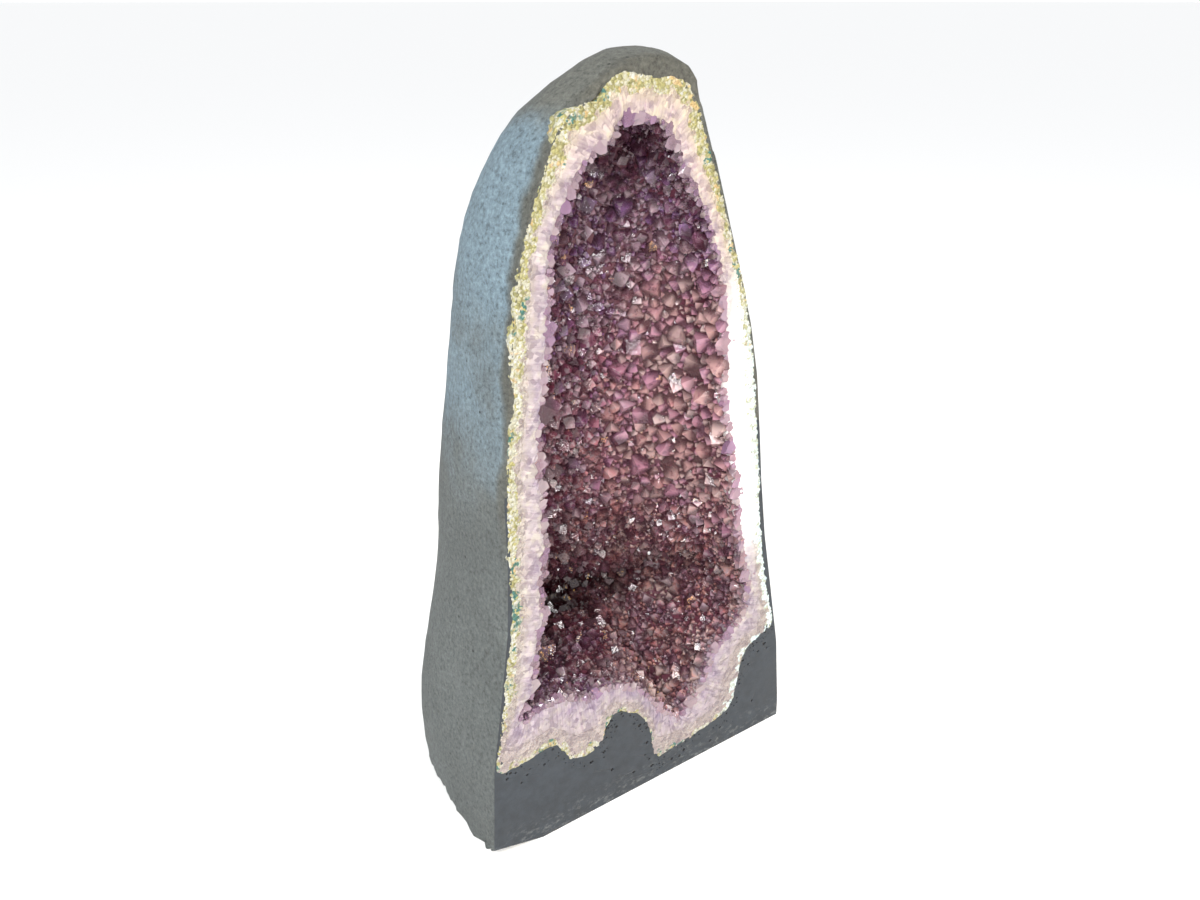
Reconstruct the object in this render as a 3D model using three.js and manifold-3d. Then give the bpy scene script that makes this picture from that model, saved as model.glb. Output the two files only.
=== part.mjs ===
// A standing amethyst geode, cut flat in front and below so that it stands like a small cathedral.
// A grey stone hull holds a chalcedony rind, and the rind holds a crust of quartz and amethyst points.
// Millimetres. x runs along the cut face, y runs back from it, and z is up.
import * as THREE from "three";
import Module from "manifold-3d";
import { mergeVertices, toCreasedNormals } from "three/addons/utils/BufferGeometryUtils.js";

const wasm = await Module();
wasm.setup();

// Sections through the stone before it was cut, from under the base to the crown.
// Each is a rounded rectangle: its middle, half width, reach to the front and back, and squareness.
const HULL_STATIONS = [
  { z: -30, x: 2, half: 149, y: 56, front: 165, back: 130, square: 3 },
  { z: 30, x: 0, half: 148, y: 56, front: 165, back: 131, square: 3 },
  { z: 90, x: -2, half: 143, y: 55, front: 165, back: 131, square: 2.8 },
  { z: 150, x: -4, half: 132, y: 54, front: 165, back: 125, square: 2.7 },
  { z: 220, x: -7, half: 121, y: 53, front: 160, back: 116, square: 2.6 },
  { z: 290, x: -12, half: 117, y: 49, front: 150, back: 106, square: 2.5 },
  { z: 360, x: -15, half: 109, y: 45, front: 135, back: 95, square: 2.4 },
  { z: 420, x: -21, half: 98, y: 42, front: 120, back: 81, square: 2.2 },
  { z: 470, x: -25, half: 85, y: 38, front: 100, back: 68, square: 2.1 },
  { z: 510, x: -24, half: 70, y: 32, front: 80, back: 55, square: 2 },
  { z: 535, x: -19, half: 56, y: 28, front: 60, back: 44, square: 2 },
  { z: 550, x: -11, half: 41, y: 24, front: 42, back: 33, square: 2 },
  { z: 560, x: -10, half: 28, y: 22, front: 25, back: 23, square: 2 },
  { z: 564, x: -5, half: 15, y: 28, front: 14, back: 12, square: 2 },
];
const CROWN = new THREE.Vector3(3, 34, 565);
const HULL_LEVELS = 19;
const HULL_COLUMNS = 42;
const FRONT_COLUMNS = 6; // columns of the uncut stone that lie in front of the cut
const FRONT_TURN = 0.2; // radians that the kept columns reach round to the front
const FLAT_TOUCH = 30; // how far behind the face the chips and the mound fade in
const HULL_CREASE = 0.6; // radians between faces above which the hull's edge is sharp
const BASE_CHIP = 5; // how far the broken lower edge is eaten in
const CHIP_HEIGHT = 16;

// The worn corner at the front left of the base: how far it is cut along the face, back and up.
const WORN_CORNER = { at: [-149, 0, 0], along: 46, back: 15, up: 12 };

// Soft swells on the back and sides. They fade out before they reach the cut face.
const SWELLS = [
  { height: 1.6, along: new THREE.Vector3(1 / 38, 1 / 47, 1 / 61), phase: 0.6 },
  { height: 1.2, along: new THREE.Vector3(-1 / 29, 1 / 33, 1 / 24), phase: 2.1 },
  { height: 0.8, along: new THREE.Vector3(1 / 17, -1 / 21, 1 / 15), phase: 4.0 },
];
const SWELL_FADE = 55;

// Where the bands meet on the cut face, clockwise from the crown as seen from the front.
// grey is the outer edge of the rind, and druse is where the crystals begin.
const FACE_BANDS = [
  { grey: [-31, 550], druse: [-28, 526] },
  { grey: [-8, 548], druse: [-12, 525] },
  { grey: [14, 545], druse: [3, 520] },
  { grey: [24, 534], druse: [7, 514] },
  { grey: [31, 517], druse: [10, 506] },
  { grey: [38, 501], druse: [18, 492] },
  { grey: [52, 466], druse: [37, 463] },
  { grey: [60, 444], druse: [45, 447] },
  { grey: [75, 405], druse: [56, 411] },
  { grey: [86, 362], druse: [61, 369] },
  { grey: [94, 313], druse: [64, 323] },
  { grey: [102, 261], druse: [78, 264] },
  { grey: [109, 202], druse: [87, 209] },
  { grey: [122, 140], druse: [101, 149] },
  { grey: [131, 104], druse: [92, 121] },
  { grey: [119, 99], druse: [80, 110] },
  { grey: [102, 89], druse: [66, 98] },
  { grey: [94, 59], druse: [57, 80] },
  { grey: [87, 37], druse: [49, 67] },
  { grey: [55, 27], druse: [32, 54] },
  { grey: [21, 23], druse: [15, 65] },
  { grey: [10, 21], druse: [7, 76] },
  { grey: [3, 47], druse: [0, 86] },
  { grey: [-4, 67], druse: [-9, 95] },
  { grey: [-14, 78], druse: [-20, 104] },
  { grey: [-34, 87], druse: [-34, 112] },
  { grey: [-44, 77], druse: [-47, 113] },
  { grey: [-50, 62], druse: [-60, 112] },
  { grey: [-72, 61], druse: [-76, 121] },
  { grey: [-90, 84], druse: [-92, 124] },
  { grey: [-112, 82], druse: [-107, 121] },
  { grey: [-138, 83], druse: [-117, 119] },
  { grey: [-134, 115], druse: [-116, 130] },
  { grey: [-131, 140], druse: [-107, 140] },
  { grey: [-127, 171], druse: [-104, 166] },
  { grey: [-122, 203], druse: [-96, 195] },
  { grey: [-122, 239], druse: [-97, 228] },
  { grey: [-122, 265], druse: [-92, 257] },
  { grey: [-121, 302], druse: [-96, 290] },
  { grey: [-119, 340], druse: [-96, 334] },
  { grey: [-114, 362], druse: [-93, 355] },
  { grey: [-115, 385], druse: [-90, 380] },
  { grey: [-112, 417], druse: [-85, 415] },
  { grey: [-107, 445], druse: [-85, 443] },
  { grey: [-99, 473], druse: [-79, 467] },
  { grey: [-86, 504], druse: [-61, 497] },
  { grey: [-76, 527], druse: [-46, 511] },
  { grey: [-63, 535], druse: [-38, 514] },
  { grey: [-49, 538], druse: [-35, 520] },
  { grey: [-40, 549], druse: [-32, 525] },
];
const QUARTZ_START = 0.4; // share of the band from the grey edge to where the quartz crust starts
const GAP = 0.4; // clearance between one layer and the next

// The hollow is drawn in towards this upright line as it goes back.
const SPINE_LOW = new THREE.Vector2(-6, 160);
const SPINE_HIGH = new THREE.Vector2(-20, 430);
// Depth of each layer behind the face, at the low and the high end of the spine.
const DEPTHS = {
  grey: { low: 140, high: 84 },
  quartz: { low: 128, high: 74 },
  druse: { low: 110, high: 62 },
};
const POCKET_SQUARE = 2.7; // squareness of the hollow from its rim to its back wall
const POCKET_END = 0.13; // share of the width that is left where the back wall closes

// The mound of crystals on the floor of the hollow.
const MOUND = { at: new THREE.Vector3(18, 46, 104), spread: 44, lift: 26 };

const LIP = 20; // how far a cutting shape stands out in front of the face
const FACE_MIDDLE = new THREE.Vector3(-12, -LIP, 300);

const COLUMNS = 68; // columns of cells round the rim, and samples of every band
const LAYER_ROWS = 4;
const CELL_ROWS = 11;
const CELL_ZIGZAG = 0.2;
const CELL_SCATTER = 0.16;
const RIM_JAG = 5; // how far cut crystals stand in from the band's edge
const POINT_HEIGHT = { least: 0.35, more: 0.45 }; // of a crystal, as shares of its width
const POINT_LEAN = 0.3;
const FACE_SETBACK = 1.5; // tips stay this far behind the cut face
const SEAM_STEP = 2; // half columns to each crystal of the seam at the back
const SEAM_SCATTER = 3;
const SEAM_HEIGHT = { least: 0.25, more: 0.3 };

// Single large points that stand out of the crust: their place on the wall, lean, half width and length.
const LARGE_POINTS = [
  { round: 0.785, inward: 0.03, lean: [0, -0.2, 0.3], half: 11, length: 34 },
  { round: 0.69, inward: 0.08, lean: [0, -0.4, 0.5], half: 8, length: 26 },
  { round: 0.585, inward: 0.3, lean: [0.2, -0.3, 0], half: 11, length: 32 },
  { round: 0.5, inward: 0.42, lean: [-0.2, -0.3, 0.1], half: 9, length: 30 },
  { round: 0.46, inward: 0.62, lean: [0.1, -0.5, 0.2], half: 9, length: 28 },
  { round: 0.2, inward: 0.72, lean: [0, 0.1, 0.2], half: 10, length: 30 },
  { round: 0.15, inward: 0.55, lean: [0.1, -0.2, 0.2], half: 9, length: 28 },
  { round: 0.26, inward: 0.6, lean: [-0.1, 0, 0.3], half: 10, length: 30 },
  { round: 0.84, inward: 0.7, lean: [0.3, 0, -0.2], half: 9, length: 28 },
  { round: 0.08, inward: 0.6, lean: [-0.3, 0, 0.1], half: 8, length: 26 },
];
const LARGE_SUNK = 6; // how deep a large point stands in the crust
const SHAFT_SHARE = 0.62; // of a large point's length, below its pyramid
const FOOT_SHARE = 0.92; // of a large point's half width, where it stands

// Gas holes in the grey stone of the cut face, below the band.
const PITS = [
  [-132, 73], [-115, 68], [-100, 70], [-57, 50], [-45, 54], [-37, 32], [-33, 73], [-15, 18], [-10, 63],
  [-2, 42], [4, 15], [25, 11], [38, 14], [68, 9], [107, 72], [118, 81], [125, 86], [115, 30],
];
const PIT_RADIUS = 2;
const PIT_DEPTH = 3.2;
const PIT_SIDES = 5;

// A fixed sequence of numbers between 0 and 1, so that the stone is the same every time.
function sequence(seed) {
  let state = seed;
  return () => {
    state = (state * 1664525 + 1013904223) % 4294967296;
    return state / 4294967296;
  };
}

const spread = (random) => random() * 2 - 1;
const power = (value, exponent) => Math.sign(value) * Math.abs(value) ** exponent;

// A closed surface in the making: points, and triangles that name them.
class Skin {
  points = [];
  faces = [];

  add(point) {
    this.points.push(point);
    return this.points.length - 1;
  }

  ring(points) {
    return points.map((point) => this.add(point));
  }

  bridge(a, b) {
    a.forEach((_, i) => {
      const next = (i + 1) % a.length;
      this.faces.push([a[i], b[i], b[next]], [a[i], b[next], a[next]]);
    });
  }

  fan(ring, centre) {
    const hub = this.add(centre);
    ring.forEach((_, i) => this.faces.push([ring[i], hub, ring[(i + 1) % ring.length]]));
  }

  // Closes a long narrow ring by joining its two sides, from its first point to the one opposite.
  zip(ring) {
    const count = ring.length;
    for (let i = 0; i < count / 2; i++) {
      const far = (count - i) % count;
      const farNext = count - i - 1;
      if (far !== i) this.faces.push([ring[i], far === 0 ? ring[0] : ring[far], ring[farNext]]);
      if (farNext !== i + 1) this.faces.push([ring[i], ring[farNext], ring[i + 1]]);
    }
  }

  geometry() {
    const geometry = new THREE.BufferGeometry().setFromPoints(this.points);
    geometry.setIndex(this.faces.flat());
    return geometry;
  }
}

function solidOf(geometry) {
  const bare = geometry.clone();
  bare.deleteAttribute("normal");
  bare.deleteAttribute("uv");
  const merged = mergeVertices(bare, 1e-3);
  const triVerts = new Uint32Array(merged.index.array);
  const vertProperties = new Float32Array(merged.attributes.position.array);
  const solid = new wasm.Manifold(new wasm.Mesh({ numProp: 3, vertProperties, triVerts }));
  if (solid.volume() > 0) return solid;
  for (let i = 0; i < triVerts.length; i += 3) {
    [triVerts[i + 1], triVerts[i + 2]] = [triVerts[i + 2], triVerts[i + 1]];
  }
  return new wasm.Manifold(new wasm.Mesh({ numProp: 3, vertProperties, triVerts }));
}

function geometryOf(solid) {
  const { vertProperties, triVerts } = solid.getMesh();
  const geometry = new THREE.BufferGeometry();
  geometry.setAttribute("position", new THREE.BufferAttribute(vertProperties, 3));
  geometry.setIndex(new THREE.BufferAttribute(triVerts, 1));
  geometry.computeVertexNormals();
  return geometry;
}

// A block from one corner to the opposite one, for cutting away.
function block(low, high) {
  const size = new THREE.Vector3(...high).sub(new THREE.Vector3(...low));
  const middle = new THREE.Vector3(...high).add(new THREE.Vector3(...low)).divideScalar(2);
  const box = new THREE.BoxGeometry(size.x, size.y, size.z);
  return solidOf(box.translate(middle.x, middle.y, middle.z));
}

const hullAt = new THREE.CubicInterpolant(
  HULL_STATIONS.map((station) => station.z),
  HULL_STATIONS.flatMap(({ x, half, y, front, back, square }) => [x, half, y, front, back, square]),
  6,
);

function swell(point) {
  const fade = THREE.MathUtils.smoothstep(point.y, 0, SWELL_FADE);
  return fade * SWELLS.reduce((sum, { height, along, phase }) => {
    return sum + height * Math.sin(point.dot(along) + phase);
  }, 0);
}

function hullPoint(angle, z, random) {
  const [x, half, y, front, back, square] = hullAt.evaluate(z);
  const cos = Math.cos(angle);
  const sin = Math.sin(angle);
  const reach = sin > 0 ? back : front;
  const point = new THREE.Vector3(
    x + half * power(cos, 2 / square),
    y + reach * power(sin, 2 / square),
    z,
  );
  const outward = new THREE.Vector3(cos, sin, 0);
  const low = 1 - THREE.MathUtils.smoothstep(z, 0, CHIP_HEIGHT);
  const chip = low * BASE_CHIP * random() * THREE.MathUtils.smoothstep(point.y, 0, FLAT_TOUCH);
  return point.addScaledVector(outward, swell(point) - chip);
}

// Heights of the hull's sections: even on the flanks and closer together towards the crown.
function hullLevels() {
  const low = HULL_STATIONS[0].z;
  const high = HULL_STATIONS.at(-1).z;
  const levels = [low, 0, CHIP_HEIGHT];
  const count = HULL_LEVELS - levels.length;
  for (let i = 1; i <= count; i++) {
    const share = i / count;
    levels.push(THREE.MathUtils.lerp(CHIP_HEIGHT, high, Math.sin((share * Math.PI) / 2) ** 0.9));
  }
  return levels;
}

// Most columns go to the back and sides, which stay. A few cover the front, which is cut away.
function hullAngles() {
  const kept = HULL_COLUMNS - FRONT_COLUMNS;
  const sweep = Math.PI + 2 * FRONT_TURN;
  const angles = [];
  for (let i = 0; i < kept; i++) angles.push(-FRONT_TURN + (sweep * i) / (kept - 1));
  const frontStep = (2 * Math.PI - sweep) / (FRONT_COLUMNS + 1);
  for (let i = 1; i <= FRONT_COLUMNS; i++) angles.push(sweep - FRONT_TURN + frontStep * i);
  return angles;
}

function uncutHull() {
  const random = sequence(11);
  const skin = new Skin();
  const angles = hullAngles();
  const rings = hullLevels().map((z) => skin.ring(angles.map((angle) => hullPoint(angle, z, random))));
  rings.slice(1).forEach((ring, i) => skin.bridge(rings[i], ring));
  skin.fan(rings.at(-1), CROWN);
  const { x, y, z } = HULL_STATIONS[0];
  skin.fan([...rings[0]].reverse(), new THREE.Vector3(x, y, z));
  return solidOf(skin.geometry());
}

const greyEdge = closedCurve("grey");
const druseEdge = closedCurve("druse");

function closedCurve(name) {
  const points = FACE_BANDS.map((band) => new THREE.Vector3(band[name][0], 0, band[name][1]));
  return new THREE.CatmullRomCurve3(points, true, "centripetal");
}

// A point of the cut face at a share of the way round, and a share of the way from grey to druse.
function facePoint(round, across) {
  const t = greyEdge.getUtoTmapping(((round % 1) + 1) % 1);
  return greyEdge.getPoint(t).lerp(druseEdge.getPoint(t), across);
}

// Even steps along the hollow's profile: the share of its width and of its depth at each.
const PROFILE_STEPS = 400;
const profile = evenProfile();

function evenProfile() {
  const points = [];
  for (let i = 0; i <= PROFILE_STEPS; i++) {
    const angle = (i / PROFILE_STEPS) * (Math.PI / 2);
    const width = power(Math.cos(angle), 2 / POCKET_SQUARE);
    if (width < POCKET_END) break;
    points.push(new THREE.Vector2(width, power(Math.sin(angle), 2 / POCKET_SQUARE)));
  }
  const lengths = [0];
  points.slice(1).forEach((point, i) => lengths.push(lengths[i] + point.distanceTo(points[i])));
  return (share) => {
    const length = share * lengths.at(-1);
    const next = Math.max(1, lengths.findIndex((value) => value >= length));
    const part = (length - lengths[next - 1]) / (lengths[next] - lengths[next - 1]);
    return points[next - 1].clone().lerp(points[next], part);
  };
}

function moundLift(point) {
  const distance = point.distanceTo(MOUND.at) / MOUND.spread;
  const fade = THREE.MathUtils.smoothstep(point.y, 0, FLAT_TOUCH);
  return MOUND.lift * Math.exp(-distance * distance) * fade;
}

// A point of the hollow's wall. The rim point is drawn in to the spine as it goes back.
function wallPoint(rim, depth, inward) {
  const high = THREE.MathUtils.clamp(
    (rim.z - SPINE_LOW.y) / (SPINE_HIGH.y - SPINE_LOW.y), 0, 1,
  );
  const spine = SPINE_LOW.clone().lerp(SPINE_HIGH, high);
  const { x: width, y: share } = profile(inward);
  const point = new THREE.Vector3(
    THREE.MathUtils.lerp(spine.x, rim.x, width),
    THREE.MathUtils.lerp(depth.low, depth.high, high) * share,
    THREE.MathUtils.lerp(spine.y, rim.z, width),
  );
  point.z += moundLift(point);
  return point;
}

const SLOPE_STEP = 0.012; // share of the wall over which its slope is measured

// The direction from the wall into the open hollow, at a point of the wall.
function intoHollow(wall, round, inward) {
  const along = wall(round + SLOPE_STEP, inward).sub(wall(round - SLOPE_STEP, inward));
  const back = wall(round, Math.min(1, inward + SLOPE_STEP * 2));
  back.sub(wall(round, Math.max(0, inward - SLOPE_STEP * 2)));
  return back.cross(along).normalize();
}

// One side of a layer, as a function of the share round the rim and the share inward.
const layerWall = (across, depth) => (round, inward) => wallPoint(facePoint(round, across), depth, inward);
const WALLS = {
  grey: layerWall(0, DEPTHS.grey),
  quartz: layerWall(QUARTZ_START, DEPTHS.quartz),
  druse: layerWall(1, DEPTHS.druse),
};

// The rings of a smooth wall from its rim to its back, moved into the hollow by a clearance.
function layerRings(skin, wall, clearance) {
  const rings = [];
  for (let row = 0; row <= LAYER_ROWS; row++) {
    const inward = row / LAYER_ROWS;
    const points = [];
    for (let column = 0; column < COLUMNS; column++) {
      const round = column / COLUMNS;
      const normal = intoHollow(wall, round, inward);
      if (row === 0) normal.setY(0).normalize();
      points.push(wall(round, inward).addScaledVector(normal, clearance));
    }
    rings.push(skin.ring(points));
  }
  return rings;
}

function lineWall(skin, rings) {
  rings.slice(1).forEach((ring, i) => skin.bridge(rings[i], ring));
  skin.zip(rings.at(-1));
}

// The room inside a wall, moved in by a clearance, with a lip in front of the face for a clean cut.
function roomInside(wall, clearance) {
  const skin = new Skin();
  const rings = layerRings(skin, wall, clearance);
  const lip = skin.ring(rings[0].map((index) => skin.points[index].clone().setY(-LIP)));
  lineWall(skin, [lip, ...rings]);
  skin.fan([...lip].reverse(), FACE_MIDDLE);
  return solidOf(skin.geometry());
}

function pit([x, z]) {
  const cone = new THREE.ConeGeometry(PIT_RADIUS, PIT_DEPTH * 2, PIT_SIDES).rotateX(Math.PI / 2);
  return solidOf(cone.rotateY(x).translate(x, 0, z));
}

// A three-sided wedge over a corner of the base, to cut the corner away.
function cornerWedge({ at, along, back, up }) {
  const corner = new THREE.Vector3(...at);
  const skin = new Skin();
  const outside = new THREE.Vector3(-LIP, -LIP, -LIP);
  const tips = [[along, 0, 0], [0, back, 0], [0, 0, up]].map((reach) => {
    return skin.add(corner.clone().add(new THREE.Vector3(...reach)));
  });
  const hub = skin.add(corner.clone().add(outside));
  skin.faces.push(tips, [hub, tips[1], tips[0]], [hub, tips[2], tips[1]], [hub, tips[0], tips[2]]);
  return solidOf(skin.geometry());
}

const FAR = 1000;
const IN_FRONT = block([-FAR, -FAR, -FAR], [FAR, 0, FAR]);
const UNDERNEATH = block([-FAR, -FAR, -FAR], [FAR, FAR, 0]);

function makeHull() {
  let hull = uncutHull().subtract(IN_FRONT).subtract(UNDERNEATH);
  hull = hull.subtract(roomInside(WALLS.grey, 0)).subtract(cornerWedge(WORN_CORNER));
  PITS.forEach((place) => { hull = hull.subtract(pit(place)); });
  return toCreasedNormals(geometryOf(hull), HULL_CREASE);
}

function makeRind() {
  const filled = roomInside(WALLS.grey, GAP).subtract(IN_FRONT);
  return geometryOf(filled.subtract(roomInside(WALLS.quartz, 0)));
}

// Lines of vertices across the druse. Two lines hold a row of six-sided cells between them.
function cellLines(skin, random) {
  const lines = [];
  for (let line = 0; line <= CELL_ROWS; line++) {
    const edge = line === 0 || line === CELL_ROWS;
    const points = [];
    for (let half = 0; half < COLUMNS * 2; half++) {
      const side = (half + line) % 2 === 0 ? 1 : -1;
      const wander = edge ? 0 : side * CELL_ZIGZAG + spread(random) * CELL_SCATTER;
      const inward = (line + wander) / CELL_ROWS;
      const round = (half / 2 + spread(random) * CELL_SCATTER) / COLUMNS;
      const point = WALLS.druse(round, inward);
      if (line === 0) {
        const normal = intoHollow(WALLS.druse, round, 0).setY(0).normalize();
        point.addScaledVector(normal, half % 2 ? RIM_JAG * random() : 0);
      }
      points.push(point);
    }
    lines.push(skin.ring(points));
  }
  return lines;
}

// Raises the middle of each cell to a point, so that its six flat faces meet there.
function growPoints(skin, lines, random) {
  const count = COLUMNS * 2;
  for (let row = 0; row < CELL_ROWS; row++) {
    for (let column = 0; column < COLUMNS; column++) {
      const middle = column * 2 + 1 + (row % 2);
      const near = [-1, 0, 1].map((step) => lines[row][(middle + step + count) % count]);
      const farther = [1, 0, -1].map((step) => lines[row + 1][(middle + step + count) % count]);
      const ring = [...near, ...farther];
      const foot = new THREE.Vector3();
      ring.forEach((index) => foot.addScaledVector(skin.points[index], 1 / ring.length));
      const size = Math.sqrt(
        skin.points[ring[0]].distanceTo(skin.points[ring[3]])
        * skin.points[ring[1]].distanceTo(skin.points[ring[4]]),
      );
      const normal = intoHollow(WALLS.druse, middle / count, (row + 0.5) / CELL_ROWS);
      const lean = new THREE.Vector3(spread(random), spread(random), spread(random));
      const aim = normal.addScaledVector(lean, POINT_LEAN).normalize();
      const height = size * (POINT_HEIGHT.least + POINT_HEIGHT.more * random());
      const tip = foot.clone().addScaledVector(aim, height);
      tip.y = Math.max(tip.y, FACE_SETBACK);
      skin.fan(ring, tip);
    }
  }
}

// A six-sided prism with a pyramid on top, standing in the druse and aimed into the hollow.
function largePoint({ round, inward, lean, half, length }) {
  const outline = [[0, 0], [half * FOOT_SHARE, 0], [half, length * SHAFT_SHARE], [0, length]];
  const point = new THREE.LatheGeometry(outline.map(([r, h]) => new THREE.Vector2(r, h)), 6);
  const aim = intoHollow(WALLS.druse, round, inward).add(new THREE.Vector3(...lean)).normalize();
  const turn = new THREE.Quaternion().setFromUnitVectors(new THREE.Vector3(0, 1, 0), aim);
  const foot = WALLS.druse(round, inward).addScaledVector(aim, -LARGE_SUNK);
  return solidOf(point.applyQuaternion(turn).translate(foot.x, foot.y, foot.z));
}

// Crystals along the line where the two sides of the hollow meet at its back.
function growSeam(skin, ring, random) {
  const half = ring.length / 2;
  for (let start = 0; start < half; start += SEAM_STEP) {
    const end = Math.min(start + SEAM_STEP, half);
    const cell = ring.slice(start, end + 1);
    for (let i = end; i >= start; i--) {
      const opposite = ring[(ring.length - i) % ring.length];
      if (!cell.includes(opposite)) cell.push(opposite);
    }
    const tip = new THREE.Vector3();
    cell.forEach((index) => tip.addScaledVector(skin.points[index], 1 / cell.length));
    const width = skin.points[cell[0]].distanceTo(skin.points[cell.at(-1)]);
    tip.y -= width * (SEAM_HEIGHT.least + SEAM_HEIGHT.more * random());
    tip.x += spread(random) * SEAM_SCATTER;
    skin.fan(cell, tip);
  }
}

// The open hollow, whose wall is dented by a point of crystal in every cell.
function openHollow() {
  const random = sequence(29);
  const skin = new Skin();
  const lines = cellLines(skin, random);
  growPoints(skin, lines, random);
  const lip = skin.ring(lines[0].map((index) => skin.points[index].clone().setY(-LIP)));
  skin.bridge(lip, lines[0]);
  skin.fan([...lip].reverse(), FACE_MIDDLE);
  growSeam(skin, lines.at(-1), random);
  return solidOf(skin.geometry());
}

function makeCrust() {
  const room = roomInside(WALLS.quartz, GAP);
  let crust = room.subtract(openHollow());
  LARGE_POINTS.forEach((place) => { crust = crust.add(room.intersect(largePoint(place))); });
  return geometryOf(crust.subtract(IN_FRONT));
}

const MATERIALS = {
  hull: { color: 0x62676a, roughness: 0.8, metalness: 0 },
  rind: { color: 0xcfc79d, roughness: 0.5, metalness: 0, flatShading: true },
  crust: { color: 0x7d4a78, roughness: 0.2, metalness: 0, flatShading: true },
};

function part(name, geometry, look) {
  const mesh = new THREE.Mesh(geometry, new THREE.MeshStandardMaterial(look));
  mesh.name = name;
  return mesh;
}

const geode = new THREE.Group();
geode.add(part("stone_hull", makeHull(), MATERIALS.hull));
geode.add(part("chalcedony_rind", makeRind(), MATERIALS.rind));
geode.add(part("amethyst_crust", makeCrust(), MATERIALS.crust));

// The origin is under the middle of the stone, on the surface that it stands on.
const middle = new THREE.Box3().setFromObject(geode).getCenter(new THREE.Vector3());
geode.position.set(-middle.x, -middle.y, 0);

export default geode;
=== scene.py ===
"""The amethyst geode: the fine surface, finishes, light and camera of a standing stone."""
import itertools
import math
import random

import bpy
import numpy as np
from bpy.props import FloatProperty, FloatVectorProperty, IntProperty, PointerProperty
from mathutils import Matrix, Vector, noise


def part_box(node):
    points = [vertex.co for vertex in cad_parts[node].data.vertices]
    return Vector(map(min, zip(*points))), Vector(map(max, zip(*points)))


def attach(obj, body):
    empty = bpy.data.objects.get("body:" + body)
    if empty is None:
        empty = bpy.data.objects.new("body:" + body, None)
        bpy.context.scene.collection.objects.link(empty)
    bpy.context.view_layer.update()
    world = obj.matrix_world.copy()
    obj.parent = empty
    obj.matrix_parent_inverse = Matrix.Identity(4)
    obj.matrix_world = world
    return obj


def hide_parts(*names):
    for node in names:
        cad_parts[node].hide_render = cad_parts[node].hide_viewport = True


bl_info = {
    "name": "Amethyst geode",
    "version": (1, 0, 0),
    "blender": (4, 5, 0),
    "location": "3D View > Sidebar > Geode",
    "description": "Grows the fine stone skin, the banded rim and the amethyst points of a geode",
    "category": "Object",
}

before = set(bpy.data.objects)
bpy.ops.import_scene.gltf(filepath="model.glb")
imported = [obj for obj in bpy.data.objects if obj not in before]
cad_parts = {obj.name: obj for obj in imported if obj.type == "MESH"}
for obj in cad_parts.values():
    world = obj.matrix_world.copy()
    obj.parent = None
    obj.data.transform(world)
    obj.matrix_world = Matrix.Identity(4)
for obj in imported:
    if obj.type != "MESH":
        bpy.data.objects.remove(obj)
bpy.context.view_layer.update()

MM = 0.001
FACE_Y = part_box("chalcedony_rind")[0][1]
FACE_MIDDLE_X = -0.9 * MM

# Where the bands meet on the cut face, clockwise from the crown as seen from the front, in mm:
# x and z of the rind's outer edge, then x and z of the edge where the crystals begin.
FACE_BANDS = [
    (-31, 550, -28, 526), (-8, 548, -12, 525), (14, 545, 3, 520), (24, 534, 7, 514),
    (31, 517, 10, 506), (38, 501, 18, 492), (52, 466, 37, 463), (60, 444, 45, 447),
    (75, 405, 56, 411), (86, 362, 61, 369), (94, 313, 64, 323), (102, 261, 78, 264),
    (109, 202, 87, 209), (122, 140, 101, 149), (131, 104, 92, 121), (119, 99, 80, 110),
    (102, 89, 66, 98), (94, 59, 57, 80), (87, 37, 49, 67), (55, 27, 32, 54),
    (21, 23, 15, 65), (10, 21, 7, 76), (3, 47, 0, 86), (-4, 67, -9, 95),
    (-14, 78, -20, 104), (-34, 87, -34, 112), (-44, 77, -47, 113), (-50, 62, -60, 112),
    (-72, 61, -76, 121), (-90, 84, -92, 124), (-112, 82, -107, 121), (-138, 83, -117, 119),
    (-134, 115, -116, 130), (-131, 140, -107, 140), (-127, 171, -104, 166),
    (-122, 203, -96, 195), (-122, 239, -97, 228), (-122, 265, -92, 257),
    (-121, 302, -96, 290), (-119, 340, -96, 334), (-114, 362, -93, 355),
    (-115, 385, -90, 380), (-112, 417, -85, 415), (-107, 445, -85, 443),
    (-99, 473, -79, 467), (-86, 504, -61, 497), (-76, 527, -46, 511),
    (-63, 535, -38, 514), (-49, 538, -35, 520), (-40, 549, -32, 525),
]
QUARTZ_START = 0.4

# The upright line that the hollow is drawn in to, and each layer's depth at its low and high end.
SPINE_LOW = (-6, 160)
SPINE_HIGH = (-20, 430)
DEPTHS = {"grey": (140, 84), "quartz": (128, 74), "druse": (110, 62)}
POCKET_SQUARE = 2.7
MOUND = {"at": (18, 46, 104), "spread": 46, "lift": 33}
MOUND_FADE = 30

# Gas holes of the grey stone in the cut face: x and z in mm.
PITS = [
    (-132, 73), (-115, 68), (-100, 70), (-57, 50), (-45, 54), (-37, 32), (-33, 73), (-15, 18), (-10, 63),
    (-2, 42), (4, 15), (25, 11), (38, 14), (68, 9), (107, 72), (118, 81), (125, 86), (115, 30),
]

# The dark fold where the mound meets the back wall: x, y, z and how far it is pushed back, in mm.
FOLD = [(-56, 96, 134, 9), (-28, 107, 130, 17), (-1, 106, 129, 17), (24, 104, 127, 14),
        (46, 97, 131, 9), (70, 89, 141, 6), (95, 55, 155, 4)]
FOLD_WIDTH = 8
FOLD_SHADE = 12
# The painted shade in the fold: its strength, the fold's depth where it is full, and how it fades to the
# right.
FOLD_SHADE_STRENGTH = 5.0
FOLD_DEEP = 13
FOLD_FADE_FROM = 35
FOLD_FADE = 40
FOLD_RIGHT_SHARE = 0.3
HOLLOW_MIDDLE = (0, 10, 200)

CURVE_STEPS = 24
PROFILE_STEPS = 600
RIM_COLUMNS = 1400
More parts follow.
